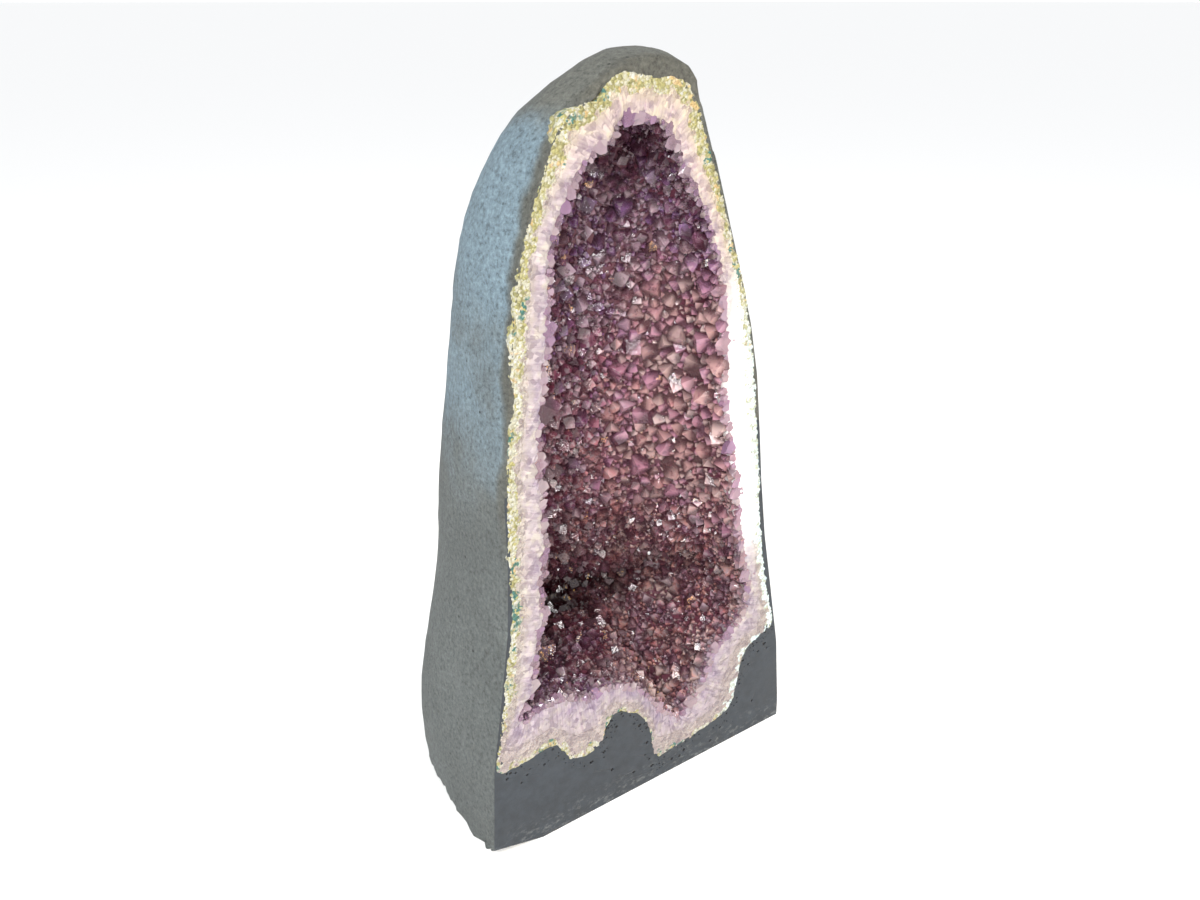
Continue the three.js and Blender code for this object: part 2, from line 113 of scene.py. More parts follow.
# How far each seed moves the noise that ripples and crumbs are read from, and how steep the crumbs are.
RIPPLE_SHIFT = (17.3, 5.1, 9.7)
CRUMB_SHIFT = (3.1, 7.7, 1.9)
CRUMB_STEEP = 1.25


def closed_curve(points):
    """Dense points of a centripetal curve through the given ones, the last joined to the first."""
    points = np.asarray(points, float)
    before = np.roll(points, 1, axis=0)
    after = np.roll(points, -1, axis=0)
    later = np.roll(points, -2, axis=0)

    def knot(a, b):
        return np.sum((a - b) ** 2, axis=1, keepdims=True) ** 0.25

    d0, d1, d2 = knot(points, before), knot(after, points), knot(later, after)
    slope1 = (points - before) / d0 - (after - before) / (d0 + d1) + (after - points) / d1
    slope2 = (after - points) / d1 - (later - points) / (d1 + d2) + (later - after) / d2
    slope1 = slope1 * d1
    slope2 = slope2 * d1
    t = np.linspace(0, 1, CURVE_STEPS, endpoint=False)[None, :, None]
    cubic = 2 * points - 2 * after + slope1 + slope2
    square = -3 * points + 3 * after - 2 * slope1 - slope2
    curve = cubic[:, None] * t ** 3 + square[:, None] * t ** 2 + slope1[:, None] * t + points[:, None]
    return curve.reshape(-1, points.shape[1])


FACE_CURVE = closed_curve(FACE_BANDS)
_STEP = np.linalg.norm(np.diff(FACE_CURVE[:, :2], axis=0, append=FACE_CURVE[:1, :2]), axis=1)
RIM_SHARES = np.concatenate([[0], np.cumsum(_STEP)]) / _STEP.sum()
RIM_LENGTH = float(_STEP.sum())


def face_edges(around):
    """Outer and druse edge of the band, at shares of the way round."""
    looped = np.vstack([FACE_CURVE, FACE_CURVE[:1]])
    values = [np.interp(np.mod(around, 1), RIM_SHARES, looped[:, k]) for k in range(4)]
    return np.stack(values[:2], -1), np.stack(values[2:], -1)


def pocket_profile():
    """Shares of width and depth along the hollow's wall, at even steps from its rim to its middle."""
    angle = np.linspace(0, math.pi / 2, PROFILE_STEPS)
    width = np.cos(angle).clip(0) ** (2 / POCKET_SQUARE)
    depth = np.sin(angle) ** (2 / POCKET_SQUARE)
    length = np.concatenate([[0], np.cumsum(np.hypot(np.diff(width), np.diff(depth)))])
    return length / length[-1], width, depth


PROFILE = pocket_profile()


def fold_reach(points):
    """How far each point lies from the fold, and how deep the fold is beside it, in mm."""
    fold = np.array(FOLD, float)
    nearest = np.full(points.shape[:-1], 1e9)
    depth = np.zeros(points.shape[:-1])
    for start, end in zip(fold[:-1], fold[1:]):
        line = end[:3] - start[:3]
        share = np.clip(((points - start[:3]) @ line) / (line @ line), 0, 1)
        reach = np.linalg.norm(points - start[:3] - share[..., None] * line, axis=-1)
        closer = reach < nearest
        nearest = np.where(closer, reach, nearest)
        depth = np.where(closer, start[3] + (end[3] - start[3]) * share, depth)
    return nearest, depth


def wall_point(rim, layer, inward):
    """Points of a layer's wall, in mm. The rim is drawn in to the spine as it goes back."""
    low, high = DEPTHS[layer]
    rise = np.clip((rim[..., 1] - SPINE_LOW[1]) / (SPINE_HIGH[1] - SPINE_LOW[1]), 0, 1)
    width = np.interp(inward, PROFILE[0], PROFILE[1])
    share = np.interp(inward, PROFILE[0], PROFILE[2])
    spine_x = SPINE_LOW[0] + (SPINE_HIGH[0] - SPINE_LOW[0]) * rise
    spine_z = SPINE_LOW[1] + (SPINE_HIGH[1] - SPINE_LOW[1]) * rise
    x = spine_x + (rim[..., 0] - spine_x) * width
    y = (low + (high - low) * rise) * share
    z = spine_z + (rim[..., 1] - spine_z) * width
    reach = np.sqrt((x - MOUND["at"][0]) ** 2 + (y - MOUND["at"][1]) ** 2 + (z - MOUND["at"][2]) ** 2)
    fade = np.clip(y / MOUND_FADE, 0, 1)
    fade = fade * fade * (3 - 2 * fade)
    z = z + MOUND["lift"] * np.exp(-(reach / MOUND["spread"]) ** 2) * fade
    points = np.stack([x, y, z], -1)
    if layer == "druse":
        away = points - np.array(HOLLOW_MIDDLE)
        away /= np.linalg.norm(away, axis=-1, keepdims=True)
        near, depth = fold_reach(points)
        points = points + away * (depth * np.exp(-(near / FOLD_WIDTH) ** 2))[..., None]
    return points


def in_place(points):
    """Points of the drawing, in mm, moved to the model's frame, in metres."""
    placed = np.asarray(points, float) * MM
    placed[..., 0] += FACE_MIDDLE_X
    placed[..., 1] += FACE_Y
    return placed


def ripple(points, wavelength, seed):
    """Smooth noise between -1 and 1 at each point, in mm."""
    offset = Vector([seed * shift for shift in RIPPLE_SHIFT])
    return np.array([noise.noise(Vector(p) / wavelength + offset) for p in points])


def ripples(points, layers):
    """Several ripples on top of each other, each with its wavelength, height and seed."""
    return sum(height * ripple(points, wavelength, seed) for wavelength, height, seed in layers)


def crumbs(points, size, height, seed):
    """Rounded grains of about one size: full height at the middle of each, near 0 between them."""
    offset = Vector([seed * shift for shift in CRUMB_SHIFT])
    reach = np.array([noise.voronoi(Vector(p) / size + offset)[0][0] for p in points])
    return height * np.clip(1 - reach * CRUMB_STEEP, 0, 1)


def clear_selection():
    if bpy.context.object and bpy.context.object.mode != "OBJECT":
        bpy.ops.object.mode_set(mode="OBJECT")
    bpy.ops.object.select_all(action="DESELECT")


def take(piece):
    """Makes a piece the only one selected."""
    clear_selection()
    bpy.context.view_layer.objects.active = piece
    piece.select_set(True)


def new_piece(name, mesh):
    piece = bpy.data.objects.new(name, mesh)
    bpy.context.scene.collection.objects.link(piece)
    take(piece)
    return piece


def mesh_of(name, points, faces):
    mesh = bpy.data.meshes.new(name)
    mesh.from_pydata([tuple(p) for p in points], [], [tuple(f) for f in faces])
    mesh.validate()
    mesh.update()
    return mesh


def mark(mesh, name, values):
    """Keeps one number for each vertex, for the finish to read."""
    layer = mesh.attributes.new(name, "FLOAT", "POINT")
    layer.data.foreach_set("value", np.asarray(values, np.float32))


class Finish:
    """A material in the making: its nodes, their links and the one shader."""

    def __init__(self, name):
        self.material = bpy.data.materials.new(name)
        self.material.use_nodes = True
        self.nodes = self.material.node_tree.nodes
        self.links = self.material.node_tree.links
        self.shader = self.nodes["Principled BSDF"]

    def node(self, kind, inputs=None, **settings):
        node = self.nodes.new(kind)
        for key, value in settings.items():
            setattr(node, key, value)
        for key, value in (inputs or {}).items():
            self.put(node.inputs[key], value)
        return node

    def put(self, socket, value):
        if isinstance(value, bpy.types.NodeSocket):
            self.links.new(value, socket)
        else:
            socket.default_value = value

    def place(self):
        return self.node("ShaderNodeTexCoord").outputs["Object"]

    def grain(self, scale, detail=3, roughness=0.55, where=None, squeeze=None):
        where = where or self.place()
        if squeeze:
            mapping = self.node("ShaderNodeMapping", {"Vector": where, "Scale": squeeze})
            where = mapping.outputs["Vector"]
        inputs = {"Vector": where, "Scale": scale, "Detail": detail, "Roughness": roughness}
        return self.node("ShaderNodeTexNoise", inputs).outputs["Fac"]

    def own_grain(self, scale, own, detail=2):
        """Noise that differs from one crystal to the next."""
        node = self.node("ShaderNodeTexNoise", noise_dimensions="4D")
        for key, value in {"Vector": self.place(), "Scale": scale, "Detail": detail, "W": own}.items():
            self.put(node.inputs[key], value)
        return node.outputs["Fac"]

    def cells(self, scale, output="Distance", where=None):
        inputs = {"Vector": where or self.place(), "Scale": scale}
        return self.node("ShaderNodeTexVoronoi", inputs).outputs[output]

    def cell_numbers(self, scale, where=None):
        """One number between 0 and 1 for each cell."""
        colour = self.cells(scale, "Color", where)
        return self.node("ShaderNodeSeparateColor", {"Color": colour}).outputs[0]

    def pushed_about(self, scale, reach):
        """Object coordinates pushed about by noise, so that cells lose their straight edges."""
        drift = self.node("ShaderNodeTexNoise", {"Vector": self.place(), "Scale": scale, "Detail": 3.0})
        push = {0: drift.outputs["Color"], 1: (reach, reach, reach)}
        push = self.node("ShaderNodeVectorMath", push, operation="MULTIPLY")
        moved = {0: self.place(), 1: push.outputs["Vector"]}
        return self.node("ShaderNodeVectorMath", moved, operation="ADD").outputs["Vector"]

    def ramp(self, value, stops):
        node = self.node("ShaderNodeValToRGB", {"Fac": value})
        node.color_ramp.interpolation = "EASE"
        elements = node.color_ramp.elements
        while len(elements) < len(stops):
            elements.new(0.5)
        for element, (position, colour) in zip(elements, stops):
            element.position = position
            element.color = (*colour, 1)
        return node.outputs["Color"]

    def greys(self, value, stops):
        """A ramp of plain greys."""
        return self.ramp(value, [(position, (grey, grey, grey)) for position, grey in stops])

    def spread(self, value, low, high, to_low=0.0, to_high=1.0):
        inputs = {"Value": value, "From Min": low, "From Max": high, "To Min": to_low, "To Max": to_high}
        return self.node("ShaderNodeMapRange", inputs, interpolation_type="SMOOTHSTEP").outputs["Result"]

    def wander(self, noise_value, reach):
        """Noise spread out evenly on both sides of nothing."""
        return self.spread(noise_value, 0.3, 0.7, -reach, reach)

    def reach(self, axis, low, high, to_low=0.0, to_high=1.0):
        """How far along an axis a place is, between two places in mm."""
        return self.spread(self.axis(axis), low * MM, high * MM, to_low, to_high)

    def blend(self, share, a, b, how="MIX"):
        node = self.node("ShaderNodeMix", data_type="RGBA", blend_type=how)
        self.put(node.inputs["Factor"], share)
        colours = [socket for socket in node.inputs if socket.type == "RGBA"]
        for socket, value in zip(colours, (a, b)):
            self.put(socket, (*value, 1) if isinstance(value, tuple) else value)
        return next(socket for socket in node.outputs if socket.type == "RGBA")

    def tint(self, share, colour, other):
        """A colour multiplied by another, as far as the share says."""
        return self.blend(share, colour, other, "MULTIPLY")

    def reckon(self, a, b, how):
        node = self.node("ShaderNodeMath", operation=how)
        self.put(node.inputs[0], a)
        self.put(node.inputs[1], b)
        return node.outputs[0]

    def plus(self, a, b):
        return self.reckon(a, b, "ADD")

    def times(self, a, b):
        return self.reckon(a, b, "MULTIPLY")

    def larger(self, a, b):
        return self.reckon(a, b, "MAXIMUM")

    def rest_of(self, share):
        return self.reckon(1.0, share, "SUBTRACT")

    def axis(self, name):
        split = self.node("ShaderNodeSeparateXYZ", {"Vector": self.place()})
        return split.outputs[name]

    def kept(self, name):
        return self.node("ShaderNodeAttribute", attribute_name=name).outputs["Fac"]

    def bump(self, height, distance, strength=1.0, under=None):
        inputs = {"Height": height, "Distance": distance, "Strength": strength}
        if under:
            inputs["Normal"] = under
        return self.node("ShaderNodeBump", inputs).outputs["Normal"]

    def set(self, **values):
        for key, value in values.items():
            self.put(self.shader.inputs[key.replace("_", " ")], value)


class StoneSettings(bpy.types.PropertyGroup):
    """Sizes and colours of the grey stone."""

    roughness_height: FloatProperty(
        name="Roughness height", description="How far the skin's lumps stand out",
        default=0.7 * MM, min=0, max=3 * MM, unit="LENGTH", precision=5,
    )
    chip_depth: FloatProperty(
        name="Chips", description="How deep the base's edge is chipped",
        default=6 * MM, min=0, max=10 * MM, unit="LENGTH", precision=4,
    )
    pits: IntProperty(name="Pits", description="Number of gas holes in the honed face", default=150)
    skin_colour: FloatVectorProperty(
        name="Skin", description="Colour of the rough back and sides",
        default=(0.130, 0.145, 0.141), size=3, min=0, max=1, subtype="COLOR",
    )
    # The shoulder's blue is partly the stone's own colour and partly painted sky light.
    sky_lit_shoulder_colour: FloatVectorProperty(
        name="Shoulder", description="Bluer colour of the upper sides",
        default=(0.194, 0.270, 0.318), size=3, min=0, max=1, subtype="COLOR",
    )
    # The strip beside the band takes this olive, darkened, as painted shade.
    crown_colour: FloatVectorProperty(
        name="Crown", description="Olive colour of the crown and of the strip beside the band",
        default=(0.124, 0.122, 0.100), size=3, min=0, max=1, subtype="COLOR",
    )
    apron_colour: FloatVectorProperty(
        name="Apron", description="Colour of the honed cut face below the hollow",
        default=(0.025, 0.031, 0.038), size=3, min=0, max=1, subtype="COLOR",
    )


class BandSettings(bpy.types.PropertyGroup):
    """Sizes and colours of the rind and the quartz band."""

    relief: FloatProperty(
        name="Relief", description="Height of the grains of the cut bands",
        default=1.1 * MM, min=0, max=2 * MM, unit="LENGTH", precision=5,
    )
    cream: FloatVectorProperty(
        name="Cream", description="Main colour of the chalcedony",
        default=(0.375, 0.365, 0.275), size=3, min=0, max=1, subtype="COLOR",
    )
    moss: FloatVectorProperty(
        name="Moss", description="Yellow-green grains in the chalcedony",
        default=(0.30, 0.28, 0.11), size=3, min=0, max=1, subtype="COLOR",
    )
    teal: FloatVectorProperty(
        name="Teal", description="Dark green specks in the chalcedony",
        default=(0.035, 0.12, 0.10), size=3, min=0, max=1, subtype="COLOR",
    )
    quartz: FloatVectorProperty(
        name="Quartz", description="Pale quartz between the rind and the crystals",
        default=(0.300, 0.262, 0.280), size=3, min=0, max=1, subtype="COLOR",
    )


class CrystalSettings(bpy.types.PropertyGroup):
    """Numbers and colours of the amethyst points."""

    large: IntProperty(
        name="Large points", description="Points tried at the largest size", default=2300,
    )
    middling: IntProperty(
        name="Middling points", description="Points tried at a middling size", default=8000,
    )
    small: IntProperty(
        name="Small points", description="Points tried in the gaps", default=34000,
    )
    # The bed's colour is the wall's violet darkened as painted shade in the gaps between the points.
    bed: FloatVectorProperty(
        name="Bed", description="Dark colour of the wall between the points",
        default=(0.085, 0.022, 0.036), size=3, min=0, max=1, subtype="COLOR",
    )
    violet: FloatVectorProperty(
        name="Violet", description="Deep colour at the top of the hollow",
        default=(0.35, 0.20, 0.34), size=3, min=0, max=1, subtype="COLOR",
    )
    plum: FloatVectorProperty(
        name="Plum", description="Colour of the back wall",
        default=(0.42, 0.13, 0.19), size=3, min=0, max=1, subtype="COLOR",
    )
    rose: FloatVectorProperty(
        name="Rose", description="Warm colour at the right and on the mound",
        default=(1.0, 0.50, 0.50), size=3, min=0, max=1, subtype="COLOR",
    )


# The edges of the bands wander by these small ripples: wavelength, height in mm, and seed.
EDGE_RIPPLES = {
    "grey": ((9, 1.3, 3), (2.6, 1.1, 4)),
    "quartz": ((11, 2.2, 5), (4, 0.9, 6)),
    "druse": ((13, 2.6, 7), (6, 2.4, 8), (3, 1.0, 9)),
}


def rim_at(share, layer, around, overlap=0.0):
    """The rim of a layer on the cut face, in mm, with its ripples, moved out by an overlap."""
    outer, druse = face_edges(around)
    rim = outer + (druse - outer) * share
    along = np.roll(rim, -1, axis=0) - np.roll(rim, 1, axis=0)
    along /= np.linalg.norm(along, axis=1, keepdims=True) + 1e-9
    outward = np.stack([-along[:, 1], along[:, 0]], -1)
    push = np.full(len(rim), float(overlap))
    for wavelength, height, seed in EDGE_RIPPLES[layer]:
        flat = np.column_stack([rim[:, 0], np.zeros(len(rim)), rim[:, 1]])
        push += height * ripple(flat, wavelength, seed)
    return rim + outward * push[:, None]


# Grains and ripples of the cut bands: size, height in mm, and seed.
JOINT_RIPPLES = ((6.0, 0.4, 12),)
RIND_CRUMBS = (2.1, 1.3, 11)
RIND_RIPPLES = ((6.0, 0.5, 12),)
LOW_CRUMBS = (3.5, 0.4, 16)
RIB_RIPPLES = ((1.0, 0.35, 13),)
QUARTZ_FACETS = (4.5, 1.1, 14)
QUARTZ_RIPPLES = ((7.0, 0.5, 15),)
RELIEF_SUNK = 0.3
# The rind has low crumbs at the base, and levels out over this last share of its width.
RIND_LOW = 120
RIND_LOW_FADE = 40
RIND_LEVEL_FROM = 0.6
# The quartz rises from the joint over the first share of its width, and rolls back over the last.
QUARTZ_LEVEL = 0.25
ROLL_FROM = 0.6
ROLL_DEPTH = 2.4
RIB_WIDTH = 2.4
RIB_DRIFT = 1.6


def rind_relief(points, share, along):
    """Crumbs and pits of the chalcedony, in mm towards the front."""
    joint = ripples(points, JOINT_RIPPLES)
    own = crumbs(points, *RIND_CRUMBS) + ripples(points, RIND_RIPPLES) - RELIEF_SUNK
    low = np.clip((RIND_LOW - points[:, 2]) / RIND_LOW_FADE, 0, 1)
    joined = np.clip((share - RIND_LEVEL_FROM) / (1 - RIND_LEVEL_FROM), 0, 1)
    own = own + (joint + crumbs(points, *LOW_CRUMBS) - own) * low
    return own + (joint - own) * joined


def quartz_relief(points, share, along):
    """Ribs across the quartz band, which rolls back where the crystals begin."""
    joint = ripples(points, JOINT_RIPPLES)
    count = len(points)
    ribs = np.column_stack([along / RIB_WIDTH, np.full(count, share * RIB_DRIFT), np.zeros(count)])
    own = ripples(ribs, RIB_RIPPLES) + crumbs(points, *QUARTZ_FACETS) * share
    own = own + ripples(points, QUARTZ_RIPPLES) - RELIEF_SUNK
    own = own - ROLL_DEPTH * max(0.0, (share - ROLL_FROM) / (1 - ROLL_FROM)) ** 2
    return joint + (own - joint) * min(share / QUARTZ_LEVEL, 1)


# A cup's walls end at this share of the way inward. Its rim starts and its lip stands back, in mm.
WALL_END = 0.985
RIM_BACK = 0.6
LIP_BACK = 0.2
CUP_SHARP = math.radians(50)


def layered_cup(name, outer, inner, rows_across, rows_deep, relief, scale, overlap):
    """A closed cup between two walls, with its rim on the cut face.

    outer and inner are (share across the band, layer). rows_deep counts the rows of the outer and
    of the inner wall. Each vertex keeps how far across the band it lies and how far round.
    """
    columns = RIM_COLUMNS
    around = np.arange(columns) / columns
    along = around * RIM_LENGTH
    outer_rim = rim_at(outer[0], outer[1], around, overlap)
    inner_rim = rim_at(inner[0], inner[1], around)
    rows = []
    across = []
    for step in np.linspace(0, WALL_END, rows_deep[0])[:0:-1]:
        rows.append(wall_point(outer_rim, outer[1], np.full(columns, step)))
        across.append(np.full(columns, outer[0]))
    for number, share in enumerate(np.linspace(0, 1, rows_across)):
        flat = outer_rim + (inner_rim - outer_rim) * share
        row = np.column_stack([flat[:, 0], np.zeros(columns), flat[:, 1]])
        if number == 0:
            row[:, 1] += RIM_BACK
        else:
            row[:, 1] -= relief(row, share, along) * scale
        rows.append(row)
        across.append(np.full(columns, outer[0] + (inner[0] - outer[0]) * share))
    lip = rows[-1][:, 1]
    for step in np.linspace(0, WALL_END, rows_deep[1])[1:]:
        row = wall_point(inner_rim, inner[1], np.full(columns, step))
        row[:, 1] = np.maximum(row[:, 1], lip + LIP_BACK)
        rows.append(row)
        across.append(np.full(columns, inner[0] + step))
    count = len(rows)
    drawn = np.concatenate(rows)
    index = np.arange(count * columns).reshape(count, columns)
    after = np.roll(index, -1, axis=1)
    faces = np.stack([index[:-1], index[1:], after[1:], after[:-1]], -1).reshape(-1, 4).tolist()
    half = columns // 2
    for ring, turned in ((index[0], True), (index[-1], False)):
        for i in range(half):
            quad = [ring[i], ring[(columns - i) % columns], ring[columns - i - 1], ring[i + 1]]
            quad = list(dict.fromkeys(int(v) for v in quad))
            if len(quad) > 2:
                faces.append(quad[::-1] if turned else quad)
    mesh = mesh_of(name, in_place(drawn), faces)
    mark(mesh, "across", np.concatenate(across))
    mark(mesh, "along", np.tile(along, count))
    # Each vertex keeps how strong the painted shade of the fold is there.
    mark(mesh, "painted_fold_shade", painted_fold_shade_at(drawn))
    piece = new_piece(name, mesh)
    bpy.ops.object.mode_set(mode="EDIT")
    bpy.ops.mesh.select_all(action="SELECT")
    bpy.ops.mesh.normals_make_consistent(inside=False)
    bpy.ops.object.mode_set(mode="OBJECT")
    bpy.ops.object.shade_smooth_by_angle(angle=CUP_SHARP)
    return piece


def painted_fold_shade_at(points):
    """How strong the painted shade in the fold is at each point: 0 to 1."""
    near, depth = fold_reach(points)
    left = np.clip((FOLD_FADE_FROM - points[:, 0]) / FOLD_FADE, FOLD_RIGHT_SHARE, 1)
    deep = np.clip(depth / FOLD_DEEP, 0, 1)
    return np.clip(FOLD_SHADE_STRENGTH * left * deep * np.exp(-(near / FOLD_SHADE) ** 2), 0, 1)


# Colours of the stone that the settings don't hold.
# How dark the painted shade on the strip beside the band is, as a share of the crown's olive.
STRIP_SHADE = 0.72
SKIN_HOLE = (0.03, 0.032, 0.033)
SCUFF = (0.13, 0.14, 0.14)
PIT_SHADE = (0.012, 0.012, 0.013)
STONE_SPECULAR = 0.35


def skin_colour(finish, settings, cloud):
    """Grey skin, bluer on the shoulder (partly its own colour, partly painted sky light), olive at the
    crown, and a thin darker olive strip of painted shade beside the band.
    """
    up = finish.plus(finish.axis("Z"), finish.wander(finish.grain(6, 4, 0.6), 60 * MM))
    # Bluer higher up and towards the front: partly the skin's own colour, partly painted sky light.
    sky_lit = finish.times(finish.spread(up, 310 * MM, 440 * MM), finish.reach("Y", 60, -20, 0.4, 1.0))
    colour = finish.blend(sky_lit, tuple(settings.skin_colour), tuple(settings.sky_lit_shoulder_colour))
    cap = finish.plus(finish.axis("Z"), finish.wander(cloud, 20 * MM))
    # Painted shade: a thin olive strip beside the band, where the rounded front edge turns from the light.
    edge = finish.plus(finish.axis("Y"), finish.wander(finish.grain(22, 3), 3 * MM))
    strip = finish.spread(edge, FACE_Y + 8 * MM, FACE_Y + 1 * MM)
    strip = finish.times(strip, finish.spread(cap, 200 * MM, 360 * MM, 0.0, 0.85))
    olive = finish.larger(finish.spread(cap, 515 * MM, 556 * MM), strip)
    crown = tuple(settings.crown_colour)
    colour = finish.blend(finish.times(olive, 0.9), colour, crown)
    return finish.blend(finish.times(strip, 0.8), colour, tuple(STRIP_SHADE * part for part in crown))


def stone_skin(settings):
    """Rough, cement-like skin with a fine stipple, cloudy patches and a few small holes."""
    finish = Finish("Stone skin")
    cloud = finish.grain(9, 4, 0.6)
    stipple = finish.grain(310, 6, 0.8)
    combed = finish.grain(340, 3, 0.6, squeeze=(1, 1, 0.3))
    colour = skin_colour(finish, settings, cloud)
    colour = finish.tint(1.0, colour, finish.greys(stipple, [(0.36, 0.50), (0.5, 1.0), (0.62, 1.40)]))
    colour = finish.tint(0.7, colour, finish.greys(cloud, [(0.3, 0.80), (0.7, 1.16)]))
    solid = finish.spread(finish.cells(95), 0.05, 0.14)
    holed = finish.spread(finish.grain(16, 2), 0.55, 0.62)
    solid = finish.larger(solid, finish.rest_of(holed))
    colour = finish.blend(solid, SKIN_HOLE, colour)
    normal = finish.bump(stipple, 4.5 * MM, 0.9)
    normal = finish.bump(combed, 1.5 * MM, 0.35, normal)
    normal = finish.bump(solid, 0.8 * MM, 0.8, normal)
    finish.set(Base_Color=colour, Normal=normal, Roughness=finish.spread(stipple, 0.3, 0.7, 0.6, 0.8))
    finish.shader.inputs["Specular IOR Level"].default_value = STONE_SPECULAR
    return finish.material


def stone_apron(settings):
    """Honed dark slate of the cut face, with small gas holes near the band and pale scuffs below."""
    finish = Finish("Stone apron")
    base = tuple(settings.apron_colour)
    cloud = finish.grain(24, 5, 0.6)
    dim = tuple(part * 0.85 for part in base)
    clear = tuple(part * 1.18 for part in base)
    colour = finish.ramp(cloud, [(0.3, dim), (0.7, clear)])
    colour = finish.tint(0.8, colour, finish.greys(finish.grain(110, 6, 0.75), [(0.35, 0.8), (0.65, 1.2)]))
    scuff = finish.spread(finish.grain(130, 6, 0.8, squeeze=(1, 1, 1.6)), 0.50, 0.66)
    colour = finish.blend(finish.times(scuff, finish.reach("Z", 30, 1, 0.02, 0.8)), colour, SCUFF)
    deep = finish.spread(finish.axis("Y"), FACE_Y + 0.15 * MM, FACE_Y + 0.7 * MM)
    colour = finish.blend(deep, colour, PIT_SHADE)
    normal = finish.bump(finish.grain(700, 3), 0.2 * MM, 0.4)
    finish.set(Base_Color=colour, Normal=normal, Roughness=finish.spread(cloud, 0.3, 0.7, 0.45, 0.6))
    finish.shader.inputs["Specular IOR Level"].default_value = STONE_SPECULAR
    return finish.material


# Colours of the bands that the settings don't hold.
CRUMB_SIZE = 480
PALE_CRUMB = (0.47, 0.475, 0.43)
OLIVE_CRUMB = (0.20, 0.19, 0.08)
TAN_CRUMB = (0.56, 0.36, 0.17)
CRUMB_GAP = (0.16, 0.14, 0.06)
GLARE_CRUMB = (0.60, 0.72, 0.74)
CLEAR_STREAK = (0.40, 0.36, 0.365)
BLOTCHES = [(0.36, (0.165, 0.118, 0.185)), (0.5, (0.295, 0.25, 0.27)), (0.64, (0.36, 0.33, 0.275))]
OUTER_CREAM = (0.33, 0.295, 0.24)
FACETS = [(0.0, (0.62, 0.57, 0.64)), (0.5, (1.0, 1.0, 1.0)), (1.0, (1.3, 1.3, 1.28))]
WARM_TOP = (1.22, 1.16, 0.98)
DUSKY_BASE = (0.86, 0.82, 0.90)
PAINTED_GLARE = (0.90, 0.90, 0.90)
QUARTZ_SHADE = (0.012, 0.006, 0.007)


def crumb_colour(finish, settings):
    """Cream, white and moss crumbs, with tan and dark teal clusters and painted glare at the upper right,
    and the crumbs' heights.
    """
    cream, moss, teal = (tuple(getattr(settings, key)) for key in ("cream", "moss", "teal"))
    shade = finish.cell_numbers(CRUMB_SIZE)
    gap = finish.cells(CRUMB_SIZE)
    colour = finish.ramp(shade, [(0.1, moss), (0.3, cream), (0.55, PALE_CRUMB), (0.95, cream)])
    olive = finish.ramp(shade, [(0.1, OLIVE_CRUMB), (0.45, moss), (0.8, cream)])
    high = finish.reach("Z", 300, 460, 0.0, 0.12)
    colour = finish.blend(finish.spread(finish.plus(finish.grain(75, 3), high), 0.52, 0.60), colour, olive)
    tan = finish.spread(finish.grain(120, 2), 0.62, 0.67)
    colour = finish.blend(finish.times(tan, 0.55), colour, TAN_CRUMB)
    low = finish.reach("Z", 460, 300, -0.05, 0.03)
    green = finish.spread(finish.plus(finish.grain(60, 3), low), 0.575, 0.62)
    colour = finish.blend(finish.times(green, finish.spread(shade, 0.35, 0.55)), colour, teal)
    colour = finish.blend(finish.times(finish.spread(gap, 0.55, 0.85), 0.45), colour, CRUMB_GAP)
    # Painted glare: the upper right of the rind goes over into a pale cyan white.
    right = finish.times(finish.reach("X", 68, 92), finish.reach("Z", 450, 380))
    glare = finish.times(right, finish.spread(shade, 0.1, 0.5, 0.35, 0.8))
    return finish.blend(glare, colour, GLARE_CRUMB), finish.rest_of(gap)


def quartz_colour(finish, settings):
    """Milky lilac quartz with streaks across the band and painted glare at its right, and the streaks'
    heights.
    """
    across = finish.kept("across")
    place = finish.node("ShaderNodeCombineXYZ", {"X": finish.kept("along"), "Y": finish.times(across, 2.5)})
    streak = finish.grain(0.45, 5, 0.65, where=place.outputs["Vector"])
    blotch = finish.grain(85, 4, 0.6)
    facet = finish.cell_numbers(300, finish.pushed_about(90.0, 9 * MM))
    pale = tuple(settings.quartz)
    dusk = (pale[0] * 0.6, pale[1] * 0.45, pale[2] * 0.6)
    colour = finish.ramp(streak, [(0.38, dusk), (0.49, pale), (0.62, CLEAR_STREAK)])
    colour = finish.blend(0.65, colour, finish.ramp(blotch, BLOTCHES))
    outer = finish.spread(finish.plus(across, finish.wander(blotch, 0.2)), 0.65, 0.25, 0.0, 0.7)
    colour = finish.blend(outer, colour, OUTER_CREAM)
    colour = finish.tint(0.8, colour, finish.ramp(facet, FACETS))
    top = finish.spread(finish.plus(finish.axis("Z"), finish.axis("X")), 360 * MM, 520 * MM, 0.0, 0.8)
    colour = finish.tint(top, colour, WARM_TOP)
    colour = finish.tint(finish.reach("Z", 160, 80, 0.0, 0.8), colour, DUSKY_BASE)
    middle = finish.times(finish.reach("Z", 160, 240), finish.reach("Z", 460, 380))
    # Painted glare: the band's right side goes over into near white.
    right = finish.times(finish.times(finish.reach("X", 52, 78), middle), 0.85)
    height = finish.plus(finish.plus(streak, blotch), finish.times(facet, 0.5))
    return finish.blend(right, colour, PAINTED_GLARE), height


def band_line(finish):
    """How far across the band a place is, with a wandering line: the rind thins out to the base."""
    line = finish.plus(finish.kept("across"), finish.wander(finish.grain(130, 3), 0.13))
    middle = finish.times(finish.reach("Z", 120, 220), finish.reach("Z", 440, 340))
    thin = finish.plus(finish.reach("Z", 170, 90, 0.0, 0.24), finish.times(middle, 0.10))
    return finish.plus(line, thin)


